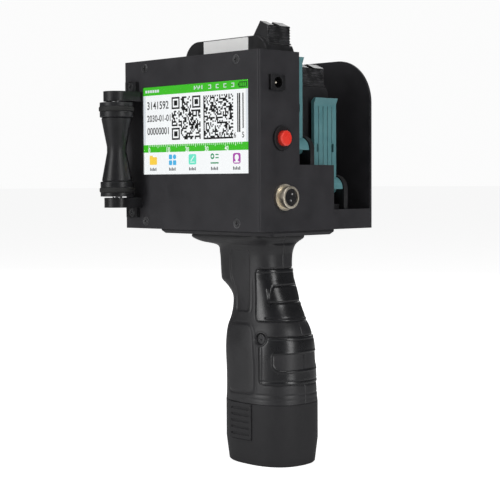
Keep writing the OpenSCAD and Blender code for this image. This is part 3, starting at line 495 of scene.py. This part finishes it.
# %% Sections of the grip
# Height, front X, back X, half depth and squareness of each section, in millimetres
GRIP_SECTIONS = np.array([
    (37.8, -29, 29, 23.3, 2.5), (42.5, -29, 28.8, 23.1, 2.45), (54, -29.6, 28.2, 22.6, 2.4),
    (68, -30.6, 27.6, 22.2, 2.4), (76, -30.6, 26.7, 21.4, 2.4), (82.5, -30, 25, 19.9, 2.4),
    (88.5, -27.8, 21.6, 18, 2.4), (95, -26, 18, 16.8, 2.5), (101.5, -26.2, 15.4, 16, 2.6),
    (106.5, -30, 13.4, 15.8, 2.8), (110.5, -35.6, 12, 15.8, 2.9), (113, -36.6, 11.2, 15.7, 2.9),
    (119.5, -36.8, 10.2, 15.7, 3), (127, -36.8, 10, 16, 3.2), (132, -38, 11, 17, 3.5),
    (134.1, -49.4, 10.6, 19, 5), (136.7, -54.2, 12.2, 21.3, 7), (138.9, -54.2, 12.2, 21.3, 7),
])


def curve_through(a, b, c, d, t):
    return 0.5 * (2 * b + (c - a) * t + (2 * a - 5 * b + 4 * c - d) * t**2 + (3 * b - a - 3 * c + d) * t**3)


def fine_sections(per_step=40):
    held = np.vstack([GRIP_SECTIONS[:1], GRIP_SECTIONS, GRIP_SECTIONS[-1:]])
    steps = np.linspace(0, 1, per_step, endpoint=False)
    rows = [curve_through(*held[k:k + 4], t) for k in range(len(GRIP_SECTIONS) - 1) for t in steps]
    return np.array(rows + [GRIP_SECTIONS[-1]])


def sections_along(count):
    """Sections an even step apart along the profile."""
    fine = fine_sections()
    along = np.concatenate([[0], np.cumsum(np.sqrt((np.diff(fine[:, :4], axis=0) ** 2).sum(1)))])
    even = np.linspace(0, along[-1], count)
    return np.column_stack([np.interp(even, along, fine[:, c]) for c in range(5)])


def sections_between(low, high, count):
    """Sections an even height apart."""
    fine = fine_sections()
    even = np.linspace(low, high, count)
    return np.column_stack([even] + [np.interp(even, fine[:, 0], fine[:, c]) for c in range(1, 5)])


def round_outline(section, start, end, count):
    """Points on one section from angle start to end (0 is the palm, -90 the near side)."""
    height, front, back, half, square = section
    angle = np.linspace(start, end, 1441)
    cos, sin = np.cos(angle), np.sin(angle)
    x = (front + back) / 2 + (back - front) / 2 * np.sign(cos) * np.abs(cos) ** (2 / square)
    y = half * np.sign(sin) * np.abs(sin) ** (2 / square)
    along = np.concatenate([[0], np.cumsum(np.hypot(np.diff(x), np.diff(y)))])
    even = np.linspace(0, along[-1], count)
    return np.column_stack([np.interp(even, along, x), np.interp(even, along, y), np.full(count, height)])


def outward(points):
    """Unit normals of a grid of points, away from the grip's axis."""
    across, up = np.gradient(points, axis=1), np.gradient(points, axis=0)
    normal = np.cross(across, up)
    normal /= np.maximum(np.linalg.norm(normal, axis=2, keepdims=True), 1e-9)
    centre = points.mean(axis=1, keepdims=True) * (1, 0, 1)
    side = np.sign((normal * (points - centre)).sum(axis=2).mean())
    return normal * side


# %% Lines and panels in the surface
CORNER_SHARE = 0.45


def soften(corners, radius, steps=6):
    """The outline with its corners rounded off."""
    corners = np.array(corners, float)
    out = []
    for before, at, after in zip(np.roll(corners, 1, 0), corners, np.roll(corners, -1, 0)):
        a, b = before - at, after - at
        cut = min(radius, CORNER_SHARE * np.linalg.norm(a), CORNER_SHARE * np.linalg.norm(b))
        a, b = at + a / np.linalg.norm(a) * cut, at + b / np.linalg.norm(b) * cut
        for t in np.linspace(0, 1, steps):
            out.append((1 - t) ** 2 * a + 2 * t * (1 - t) * at + t**2 * b)
    return np.array(out)


def depth_inside(x, z, outline):
    """Distance from the outline, positive inside."""
    inside, best = np.zeros(x.shape, bool), np.full(x.shape, 1e9)
    for (ax, az), (bx, bz) in zip(outline, np.roll(outline, -1, axis=0)):
        ex, ez = bx - ax, bz - az
        if ex * ex + ez * ez < 1e-12:
            continue
        t = np.clip(((x - ax) * ex + (z - az) * ez) / (ex * ex + ez * ez), 0, 1)
        best = np.minimum(best, np.hypot(x - ax - t * ex, z - az - t * ez))
        if abs(ez) > 1e-9:
            inside ^= ((az > z) != (bz > z)) & (x < ex * (z - az) / ez + ax)
    return np.where(inside, best, -best)


def ramp(value, width):
    t = np.clip(value / width + 0.5, 0, 1)
    return t * t * (3 - 2 * t)


def line(value, width, depth):
    """A groove where value is zero, or a rib if depth is negative."""
    return -depth * np.exp(-((value / width) ** 2))


UPPER_PANEL = soften([(-19.2, 129.6), (-3.2, 129.8), (-3.4, 108), (-2.2, 92.4), (-14.8, 92),
                      (-15.8, 105), (-20.4, 114.3), (-20.2, 124)], 2.6)
UPPER_FRAME = soften([(-41, 132.8), (-1.2, 132.8), (-1.4, 108), (0, 90.8), (-16.4, 90.2), (-41, 90)], 4)
LOWER_PANEL = soften([(-18.4, 84.8), (1.2, 85.4), (5.4, 78.8), (7.9, 61.8), (8.3, 44), (-15, 44),
                      (-16.8, 52), (-18.6, 70)], 3.4)
NEAR_SCREW = (10.4, 76.9)
FAR_SCREWS = [(-6, 100), (1.5, 106.5)]
SCREW_SEAT_R, NEAR_SEAT_DEEP, FAR_SEAT_DEEP = 3.2, 3.5, 5.2


def shell_relief(x, y, z):
    """How far the surface of a half shell stands off its smooth section, in millimetres."""
    upper = depth_inside(x, z, UPPER_PANEL)
    frame_line = depth_inside(x, z, UPPER_FRAME)
    lower = depth_inside(x, z, LOWER_PANEL)
    lift = -0.75 * ramp(upper - 0.2, 1.1)
    lift += line(frame_line, 0.5, 0.22) * ramp(z - 92, 2) * ramp(112 - z, 8) * ramp(x + 8, 4)
    lift += 0.65 * ramp(lower - 0.4, 1.3) + line(lower + 0.9, 0.45, 0.2)
    lift += line(z - 43.4, 0.45, 0.35) * ramp(x + 16, 2) + line(z - 40.6, 0.3, 0.18) * ramp(x + 4, 1)
    for name, outline in PAD_OUTLINES.items():
        lift += line(depth_inside(x, z, outline), 0.45, 0.5)
    screws = [(at, FAR_SEAT_DEEP) for at in FAR_SCREWS]
    if y.mean() < 0:
        screws = [(NEAR_SCREW, NEAR_SEAT_DEEP)]
    for (sx, sz), deep in screws:
        away = np.hypot(x - sx, z - sz)
        lift += 0.3 * ramp(SCREW_SEAT_R + 1.2 - away, 0.9) - deep * ramp(SCREW_SEAT_R - away, 0.9)
    return lift


# %% Pads: where they lie
# Height of the lower and upper edge, and near X of the border at each of them
PADS = {"palm_pad_lower": (49.3, 78.3, 11.3, 10.1), "palm_pad_upper": (87.2, 118.4, 4.0, 0.7)}
PAD_REACH = 60  # an X well past the palm
PAD_OUTLINES = {
    name: soften([(low_x, low), (PAD_REACH, low), (PAD_REACH, high), (high_x, high)], 4)
    for name, (low, high, low_x, high_x) in PADS.items()
}


# %% Laying a grid on points
def lay_grid(name, points):
    """A grid primitive whose vertices are moved onto rows of points, in millimetres."""
    rows, columns = points.shape[:2]
    rest_hands()
    bpy.ops.mesh.primitive_grid_add(x_subdivisions=columns - 1, y_subdivisions=rows - 1, size=1)
    piece = name_new(name)
    flat = np.zeros(len(piece.data.vertices) * 3)
    piece.data.vertices.foreach_get("co", flat)
    flat = flat.reshape(-1, 3)
    column = np.rint((flat[:, 0] + 0.5) * (columns - 1)).astype(int)
    row = np.rint((flat[:, 1] + 0.5) * (rows - 1)).astype(int)
    piece.data.vertices.foreach_set("co", (points[row, column] * MM).ravel())
    piece.data.update()
    return piece


def face_outwards(piece, points):
    """Turns the faces round if they look at the grip's axis."""
    centre = Vector(points.reshape(-1, 3).mean(axis=0) * (1, 0, 1) * MM)
    flat = np.array([(f.center - centre).dot(f.normal) for f in piece.data.polygons])
    if flat.mean() < 0:
        take(piece)
        bpy.ops.object.mode_set(mode="EDIT")
        bpy.ops.mesh.select_all(action="SELECT")
        bpy.ops.mesh.flip_normals()
        put_down()


def give_wall(piece, thickness):
    take(piece)
    wall = piece.modifiers.new("wall", "SOLIDIFY")
    wall.thickness = thickness * MM
    wall.offset = -1
    bpy.ops.object.modifier_apply(modifier=wall.name)
    bpy.ops.object.shade_smooth()


# %% Half shells
SHELL_ROWS, SHELL_COLUMNS = 232, 202
SLOT_COLUMNS = 25
SHELL_WALL, SHELL_LIFT_LIMIT = 2.2, 0.9
SEAM_WIDTH, SEAM_DEPTH, SEAM_GAP = 0.35, 0.25, 0.02
SLOT_GAP = 0.35
trigger_low, trigger_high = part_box("trigger")
SLOT_HALF = trigger_high.y / MM + SLOT_GAP
SLOT_FLOOR, SLOT_ROOF = trigger_low.z / MM - SLOT_GAP, trigger_high.z / MM + SLOT_GAP


def row_points(section, side):
    """One row of a half shell, with a column held on the edge of the trigger's slot."""
    fine = round_outline(section, side * math.pi, 0, 2000)
    along = np.concatenate([[0], np.cumsum(np.hypot(*np.diff(fine[:, :2], axis=0).T))])
    held = along[np.argmax(np.abs(fine[:, 1]) >= SLOT_HALF)]
    even = np.concatenate([np.linspace(0, held, SLOT_COLUMNS),
                           np.linspace(held, along[-1], SHELL_COLUMNS - SLOT_COLUMNS + 1)[1:]])
    return np.column_stack([np.interp(even, along, fine[:, c]) for c in range(3)])


def half_shell(name, node, side):
    rows = sections_along(SHELL_ROWS)
    for height in (SLOT_FLOOR, SLOT_ROOF):
        rows[np.argmin(np.abs(rows[:, 0] - height)), 0] = height
    points = np.array([row_points(r, side) for r in rows])
    points[:, 0, 1] = points[:, -1, 1] = 0
    lift = shell_relief(points[..., 0], points[..., 1], points[..., 2])
    step = np.linalg.norm(np.diff(points, axis=1), axis=2).mean(axis=1, keepdims=True)
    column = np.minimum(np.arange(SHELL_COLUMNS), np.arange(SHELL_COLUMNS)[::-1])
    lift += line(step * column[None, :], SEAM_WIDTH, SEAM_DEPTH)
    points += outward(points) * np.minimum(lift, SHELL_LIFT_LIMIT)[..., None] * (1, 1, 0)
    points[:, 0, 1] = points[:, -1, 1] = side * SEAM_GAP
    piece = lay_grid(name, points)
    face_outwards(piece, points)
    pick(piece, "FACE", lambda at, way: at.x < -20 * MM and abs(at.y) < SLOT_HALF * MM
         and SLOT_FLOOR * MM < at.z < SLOT_ROOF * MM)
    bpy.ops.mesh.delete(type="FACE")
    put_down()
    give_wall(piece, SHELL_WALL)
    bpy.ops.object.shade_smooth_by_angle(angle=math.radians(50))
    dress(piece, grip_shell)
    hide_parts(node)
    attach(piece, "case")
    print(name, "triangles:", sum(len(p.vertices) - 2 for p in piece.data.polygons))


half_shell("grip_shell_near", "handle_front", -1)
half_shell("grip_shell_far", "handle_back", 1)

# %% [markdown]
# ## The soft pads
# Two pads of soft rubber wrap the palm side. Each lies in a groove of the shell, stands about half a
# millimetre proud with a rolled edge, and carries grooves that stop the hand from sliding.

# %% Soft pads
LOWER_INSET = soften([(19.2, 68.2), (PAD_REACH, 69.8), (PAD_REACH, 59.3), (22.2, 57.9), (19.4, 60.7)], 1.6)


def pad_relief(name, x, z):
    low, high = PADS[name][:2]
    if name == "palm_pad_upper":
        right = ramp(x - 10.8, 1.2)
        lift = (line(z - 108.4, 0.55, 0.6) + line(z - 106.9, 0.5, -0.14)) * right
        lift += (line(z - 98.5, 0.55, 0.6) + line(z - 97.0, 0.5, -0.14)) * right
        lift += line(z - 89.2, 0.5, 0.3) * right + line(z - (high - 2.6), 0.4, 0.22)
        lift += line(x - 10.8, 0.4, 0.25) * ramp(107.6 - z, 1) * ramp(z - 98.8, 1)
        slant = (x - 8.8) - (106.7 - z) * 0.28
        return lift + line(slant, 0.35, -0.3) * ramp(106.7 - z, 1) * ramp(z - 98.6, 1)
    inset = depth_inside(x, z, LOWER_INSET)
    lift = -0.55 * ramp(inset - 0.3, 0.9) + line(inset + 0.5, 0.45, -0.2)
    lift += line(z - (high - 2.2), 0.4, 0.22) + line(z - (low + 2.4), 0.4, 0.25)
    return lift + line(x - (13.5 - (z - low) * 0.03), 0.4, 0.2)


PAD_COLUMNS, PAD_ROW_STEP = 150, 0.32
PAD_CORNER, PAD_ROLL = 3.4, 1.1
PAD_PROUD, PAD_SUNK, PAD_LIFT_LIMIT, PAD_WALL = 0.8, 0.3, 0.95, 0.6
PAD_SCREW_CLEAR = SCREW_SEAT_R + 1.3


def soft_pad(name):
    low, high, low_x, high_x = PADS[name]
    rows = sections_between(low, high, int((high - low) / PAD_ROW_STEP))
    points = []
    for section in rows:
        height, front, back, half, square = section
        near = low_x + (high_x - low_x) * (height - low) / (high - low)
        end = min(height - low, high - height)
        if end < PAD_CORNER:
            near += PAD_CORNER - math.sqrt(PAD_CORNER**2 - (PAD_CORNER - end) ** 2)
        beside = height - NEAR_SCREW[1]
        if name == "palm_pad_lower" and abs(beside) < PAD_SCREW_CLEAR:
            near = max(near, NEAR_SCREW[0] + math.sqrt(PAD_SCREW_CLEAR**2 - beside**2))
        share = (near - (front + back) / 2) / ((back - front) / 2)
        angle = math.acos(min(1, max(0, share)) ** (square / 2))
        points.append(round_outline(section, -angle, angle, PAD_COLUMNS))
    points = np.array(points)
    x, z = points[..., 0], points[..., 2]
    step = np.linalg.norm(np.diff(points, axis=1), axis=2).mean(axis=1, keepdims=True)
    column = np.minimum(np.arange(PAD_COLUMNS), np.arange(PAD_COLUMNS)[::-1])[None, :] * step
    edge = np.minimum(np.minimum(z - low, high - z), column)
    rolled = np.sqrt(1 - (1 - np.clip(edge / PAD_ROLL, 0, 1)) ** 2)
    lift = (PAD_PROUD + pad_relief(name, x, z)) * rolled - PAD_SUNK
    lift = np.minimum(lift, PAD_LIFT_LIMIT)
    points = points + outward(points) * lift[..., None] * (1, 1, 0)
    piece = lay_grid(name, points)
    face_outwards(piece, points)
    give_wall(piece, PAD_WALL)
    dress(piece, grip_soft)
    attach(piece, "case")
    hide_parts("grip_pads")
    print(name, "triangles:", sum(len(p.vertices) - 2 for p in piece.data.polygons))


for pad_name in PADS:
    soft_pad(pad_name)

# %% [markdown]
# ## The touch screen
# A clear cover glass fills the window, its face a hair behind the front plate. Behind it the display
# shines by itself, so the picture is built from thin layers that emit light: a white field, green
# bars, round-cornered icons, and two square codes made of cells. The codes and numbers are made up
# here and mean nothing.

# %% Where the picture lies
panel_low, panel_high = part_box("lcd_panel")
RIM_LEFT, RIM_RIGHT, RIM_BELOW, RIM_ABOVE = 4.3 * MM, 5.2 * MM, 9 * MM, 4 * MM
screen_left, screen_right = panel_low.x + RIM_LEFT, panel_high.x - RIM_RIGHT
screen_bottom, screen_top = panel_low.z + RIM_BELOW, panel_high.z - RIM_ABOVE
screen_wide, screen_tall = screen_right - screen_left, screen_top - screen_bottom
LAYER = 0.035 * MM
print("picture in mm:", round(screen_wide / MM, 1), "x", round(screen_tall / MM, 1))


GLOW_STRENGTH = 1.1


def make_glow(name, colour):
    """A display colour: light that varies a little with the backlight and the grid of dots."""
    material, tree, shader = new_material(name)
    grains = place_group(tree, grain_group, Scale=700.0)
    dimmer = tuple(c * 0.95 for c in colour)
    tone = mix_colour(tree, grains.outputs["Cloud"], dimmer, colour)
    tree.links.new(tone, shader.inputs["Emission Color"])
    shader.inputs["Emission Strength"].default_value = GLOW_STRENGTH
    shader.inputs["Specular IOR Level"].default_value = 0.1
    dark = mix_colour(tree, grains.outputs["Fine"], (0.003, 0.003, 0.003), (0.006, 0.006, 0.006))
    tree.links.new(dark, shader.inputs["Base Color"])
    tree.links.new(spread(tree, grains.outputs["Fine"], 0.2, 0.8, 0.35, 0.5), shader.inputs["Roughness"])
    return material


glow_white = make_glow("glow_white", (0.95, 0.97, 0.98))
glow_green = make_glow("glow_green", (0.05, 0.52, 0.018))
glow_black = make_glow("glow_black", (0.0015, 0.0015, 0.002))
glow_grey = make_glow("glow_grey", (0.72, 0.76, 0.80))
glow_label = make_glow("glow_label", (0.10, 0.11, 0.12))
glow_yellow = make_glow("glow_yellow", (1.0, 0.66, 0.07))
glow_blue = make_glow("glow_blue", (0.07, 0.46, 0.80))
glow_mint = make_glow("glow_mint", (0.16, 0.82, 0.60))
glow_deep = make_glow("glow_deep", (0.02, 0.30, 0.12))
glow_purple = make_glow("glow_purple", (0.42, 0.06, 0.42))
glow_battery = make_glow("glow_battery", (0.01, 0.09, 0.01))


# %% Tiles
def screen_x(across):
    return screen_left + across * screen_wide


def screen_z(down):
    return screen_top - down * screen_tall


def tile(left, top, right, bottom, layer, corner=0.0):
    """A thin plate on the picture between fractions of its width and height."""
    rest_hands()
    place = ((screen_x(left) + screen_x(right)) / 2, panel_low.y - LAYER * (layer + 0.5),
             (screen_z(top) + screen_z(bottom)) / 2)
    size = ((right - left) * screen_wide, LAYER * 0.9, (bottom - top) * screen_tall)
    bpy.ops.mesh.primitive_cube_add(size=1, location=place, scale=size)
    piece = name_new("tile")
    set_place(piece)
    if corner:
        pick(piece, "EDGE", lambda at, way: abs(way.y) > 0.9)
        bpy.ops.mesh.bevel(offset=corner * MM, segments=5, affect="EDGES", clamp_overlap=True)
        put_down()
    return piece


def gather(name, tiles, glow):
    """Joins tiles into one piece of the display."""
    take(*tiles)
    if len(tiles) > 1:
        bpy.ops.object.join()
    piece = name_new(name)
    dress(piece, glow)
    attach(piece, "case")
    return piece


def cells(left, top, right, bottom, rows, columns, layer, keep):
    """A grid of cells of which some are kept, given a thickness."""
    rest_hands()
    bpy.ops.mesh.primitive_grid_add(x_subdivisions=columns, y_subdivisions=rows, size=1)
    piece = name_new("cells")
    pick(piece, "FACE", lambda at, way: not keep(int((0.5 - at.y) * rows), int((at.x + 0.5) * columns)))
    bpy.ops.mesh.delete(type="FACE")
    put_down()
    piece.rotation_euler = (math.radians(90), 0, 0)
    piece.scale = ((right - left) * screen_wide, (bottom - top) * screen_tall, 1)
    piece.location = ((screen_x(left) + screen_x(right)) / 2, panel_low.y - LAYER * (layer + 0.9),
                      (screen_z(top) + screen_z(bottom)) / 2)
    set_place(piece)
    wall = piece.modifiers.new("thickness", "SOLIDIFY")
    wall.thickness = LAYER * 0.8
    wall.offset = -1
    bpy.ops.object.modifier_apply(modifier=wall.name)
    return piece


FIGURE_STRETCH, FIGURE_BOLD = 1.12, 0.011


def number_row(words, left, middle, wide, layer):
    """Figures of one height on the picture, made a mesh before they are placed."""
    rest_hands()
    bpy.ops.object.text_add()
    piece = bpy.context.object
    piece.data.body = words
    piece.data.extrude = 0.5
    piece.data.offset = FIGURE_BOLD
    bpy.ops.object.convert(target="MESH")
    piece = name_new("figures")
    low = np.array([v.co for v in piece.data.vertices]).min(0)
    high = np.array([v.co for v in piece.data.vertices]).max(0)
    size = wide * screen_wide / (high[0] - low[0])
    piece.data.transform(Matrix.Translation((-low[0], -(low[1] + high[1]) / 2, 0)))
    piece.rotation_euler = (math.radians(90), 0, 0)
    piece.scale = (size, size * FIGURE_STRETCH, LAYER * 0.8)
    piece.location = (screen_x(left), panel_low.y - LAYER * (layer + 0.5), screen_z(middle))
    set_place(piece)
    return piece


# %% Field, bars and figures
# The edges of a tile are shares of the picture: left, top, right and bottom, then its layer
gather("screen_field", [tile(0.001, 0.002, 0.999, 0.998, 0)], glow_white)
green = [tile(0.001, 0.002, 0.999, 0.097, 1), tile(0.001, 0.66, 0.999, 0.747, 1)]
gather("screen_green", green, glow_green)
sides = [tile(0.001, 0.097, 0.020, 0.66, 1), tile(0.972, 0.097, 0.999, 0.66, 1)]
gather("screen_sides", sides, glow_grey)
TICKS, TICK_STEP = 49, 0.0184
ticks = [tile(0.050 + TICK_STEP * k, 0.66, 0.0535 + TICK_STEP * k, 0.697 if k % 5 == 0 else 0.682, 2)
         for k in range(TICKS)]
status = [tile(0.50 + 0.012 * k, 0.026 + 0.016 * (k % 2), 0.508 + 0.012 * k, 0.068 - 0.012 * (k % 3), 2)
          for k in range(7)]
for left, upright in ((0.635, 0.020), (0.705, 0.0), (0.775, 0.0), (0.845, 0.020)):
    status += [tile(left, 0.026, left + 0.026, 0.034, 2), tile(left, 0.062, left + 0.026, 0.070, 2),
               tile(left + upright, 0.034, left + upright + 0.006, 0.062, 2)]
status += [tile(0.02 + 0.024 * k, 0.036, 0.038 + 0.024 * k, 0.066, 2) for k in range(6)]
scale_figures = [number_row(str(10 * k), 0.046 + 10 * TICK_STEP * k, 0.722, 0.034 if k else 0.018, 2)
                 for k in range(5)]
gather("screen_white_marks", ticks + scale_figures, glow_white)
gather("screen_status", status, glow_grey)
charge_sign = [tile(0.912, 0.02, 0.984, 0.080, 2, 0.3), tile(0.904, 0.038, 0.912, 0.062, 2)]
gather("screen_battery", charge_sign, glow_battery)
charge = [tile(0.919 + 0.0155 * k, 0.030, 0.929 + 0.0155 * k, 0.070, 3) for k in range(4)]
gather("screen_charge", charge, glow_green)
figures = [number_row("3141592", 0.037, 0.213, 0.215, 1), number_row("2030-01-01", 0.035, 0.360, 0.235, 1),
           number_row("00000001", 0.037, 0.505, 0.215, 1)]
gather("screen_figures", figures, glow_black)
print("ticks on the ruler:", len(ticks))


# %% [markdown]
# ## The codes
# A printed code is a field of square cells. The real ones carry words; these only look the part. Each
# cell is dark or light by a rule that mixes its row and column, so the pattern is the same on every
# run, and a frame or three corner marks give each kind of code its look.


# %% Two square codes and a line code
DARK_SHARE = 52


def code_bit(row, column, seed):
    """True for a dark cell: large odd factors scatter the dark cells evenly."""
    return ((row * 73856093) ^ (column * 19349663) ^ (seed * 83492791)) // 7 % 100 < DARK_SHARE


def finder(row, column, size):
    """A cell's colour in one of the three corner marks, or None away from them."""
    for top, left in ((0, 0), (0, size - 7), (size - 7, 0)):
        r, c = row - top, column - left
        if -1 <= r <= 7 and -1 <= c <= 7:
            if not (0 <= r <= 6 and 0 <= c <= 6):
                return False
            return r in (0, 6) or c in (0, 6) or (2 <= r <= 4 and 2 <= c <= 4)
    return None


def code_cell(seed, size):
    def keep(row, column):
        mark = finder(row, column, size)
        return code_bit(row, column, seed) if mark is None else mark
    return keep


def edged_cell(seed, size):
    """A code with a full left column and bottom row and a dotted top and right side."""
    def keep(row, column):
        if column == 0 or row == size - 1:
            return True
        if row == 0:
            return column % 2 == 0
        return row % 2 == 1 if column == size - 1 else code_bit(row, column, seed)
    return keep


first_code = cells(0.283, 0.133, 0.560, 0.612, 25, 25, 1, code_cell(5, 25))
second_code = cells(0.588, 0.140, 0.860, 0.619, 26, 26, 1, edged_cell(11, 26))
gather("screen_codes", [first_code, second_code], glow_black)
bars = [tile(left, 0.140, left + wide, low, 1) for left, wide, low in
        ((0.896, 0.010, 0.555), (0.911, 0.012, 0.555), (0.943, 0.009, 0.515))]
bars += [number_row("6", 0.866, 0.585, 0.018, 1), number_row("5", 0.938, 0.585, 0.018, 1)]
gather("screen_line_code", bars, glow_black)

# %% [markdown]
# ## The icons
# Five buttons stand along the foot of the picture. At this size an icon reads by its colour and its
# outline alone, so each is a few plates with rounded corners, and short bars stand in for captions.

# %% Icons
# Centre of each icon, as a share of the picture's width
ICONS = (0.095, 0.286, 0.481, 0.688, 0.890)
folder = [tile(0.058, 0.800, 0.132, 0.888, 2, 0.5), tile(0.058, 0.783, 0.090, 0.806, 2, 0.3)]
gather("icon_folder", folder, glow_yellow)
tiles = [tile(ICONS[1] + dx, 0.835 + dz, ICONS[1] + dx + 0.032, 0.835 + dz + 0.054, 2,
              1.4 if dx > 0 > dz else 0.6)
         for dx in (-0.034, 0.006) for dz in (-0.060, 0.006)]
gather("icon_tiles", tiles, glow_blue)
gather("icon_edit", [tile(ICONS[2] - 0.036, 0.777, ICONS[2] + 0.036, 0.892, 2, 1.0)], glow_mint)
gear = [tile(ICONS[3] - 0.036, 0.775, ICONS[3] - 0.002, 0.838, 2, 1.5),
        tile(ICONS[3] + 0.010, 0.782, ICONS[3] + 0.038, 0.795, 2),
        tile(ICONS[3] + 0.010, 0.816, ICONS[3] + 0.038, 0.829, 2),
        tile(ICONS[3] - 0.036, 0.872, ICONS[3] + 0.038, 0.887, 2)]
gather("icon_setting", gear, glow_deep)
gather("icon_print", [tile(ICONS[4] - 0.034, 0.777, ICONS[4] + 0.034, 0.892, 2, 1.4)], glow_purple)
marks = [tile(ICONS[4] - 0.018, 0.792, ICONS[4] + 0.018, 0.856, 3, 1.6),
         tile(ICONS[4] - 0.010, 0.850, ICONS[4] + 0.010, 0.868, 3),
         tile(ICONS[4] - 0.024, 0.866, ICONS[4] + 0.024, 0.880, 3, 0.3),
         tile(ICONS[3] - 0.027, 0.792, ICONS[3] - 0.011, 0.821, 3, 0.7),
         tile(ICONS[2] - 0.020, 0.862, ICONS[2] + 0.020, 0.870, 3)]
marks += [tile(ICONS[2] - 0.016 + 0.005 * k, 0.842 - 0.009 * k,
               ICONS[2] - 0.008 + 0.005 * k, 0.852 - 0.009 * k, 3)
          for k in range(6)]
gather("icon_marks", marks, glow_white)
captions = [tile(at - 0.033 + 0.0135 * k, 0.922 + 0.01 * (k % 2), at - 0.024 + 0.0135 * k, 0.957, 1)
            for at in ICONS for k in range(5)]
gather("icon_captions", captions, glow_label)
print("icons:", len(ICONS))

# %% [markdown]
# ## The cover glass
# One sheet of clear glass covers the display. Its corners are rounded and its rim is ground, which is
# what shows the glass at all: a thin bright line round the picture. A faint smear keeps it from being
# perfect.

# %% Cover glass
GLASS_THICK, GLASS_CORNER, GROUND_EDGE = 0.7 * MM, 0.5 * MM, 0.15 * MM
glass_low, glass_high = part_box("touch_glass")
middle_x, middle_z = (glass_low.x + glass_high.x) / 2, (glass_low.z + glass_high.z) / 2
rest_hands()
bpy.ops.mesh.primitive_cube_add(
    size=1, location=(middle_x, glass_low.y + GLASS_THICK / 2, middle_z),
    scale=(glass_high.x - glass_low.x, GLASS_THICK, glass_high.z - glass_low.z))
cover = name_new("cover_glass")
set_place(cover)
pick(cover, "EDGE", lambda at, way: abs(way.y) > 0.9)
bpy.ops.mesh.bevel(offset=GLASS_CORNER, segments=4, affect="EDGES")
put_down()
soft_rim = cover.modifiers.new("ground edge", "BEVEL")
soft_rim.width = GROUND_EDGE
soft_rim.segments = 2
take(cover)
bpy.ops.object.modifier_apply(modifier=soft_rim.name)
clear_glass, tree, shader = new_material("cover_glass")
shader.inputs["Transmission Weight"].default_value = 1.0
shader.inputs["IOR"].default_value = 1.45
shader.inputs["Specular IOR Level"].default_value = 0.25
smears = place_group(tree, grain_group, Scale=900.0)
tree.links.new(spread(tree, smears.outputs["Cloud"], 0.1, 0.9, 0.015, 0.06), shader.inputs["Roughness"])
tone = mix_colour(tree, smears.outputs["Cloud"], (0.97, 0.98, 0.98), (1, 1, 1))
tree.links.new(tone, shader.inputs["Base Color"])
cover.data.materials.append(clear_glass)
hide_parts("touch_glass")
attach(cover, "case")
print("cover glass in mm:", [round(v / MM, 1) for v in cover.dimensions])
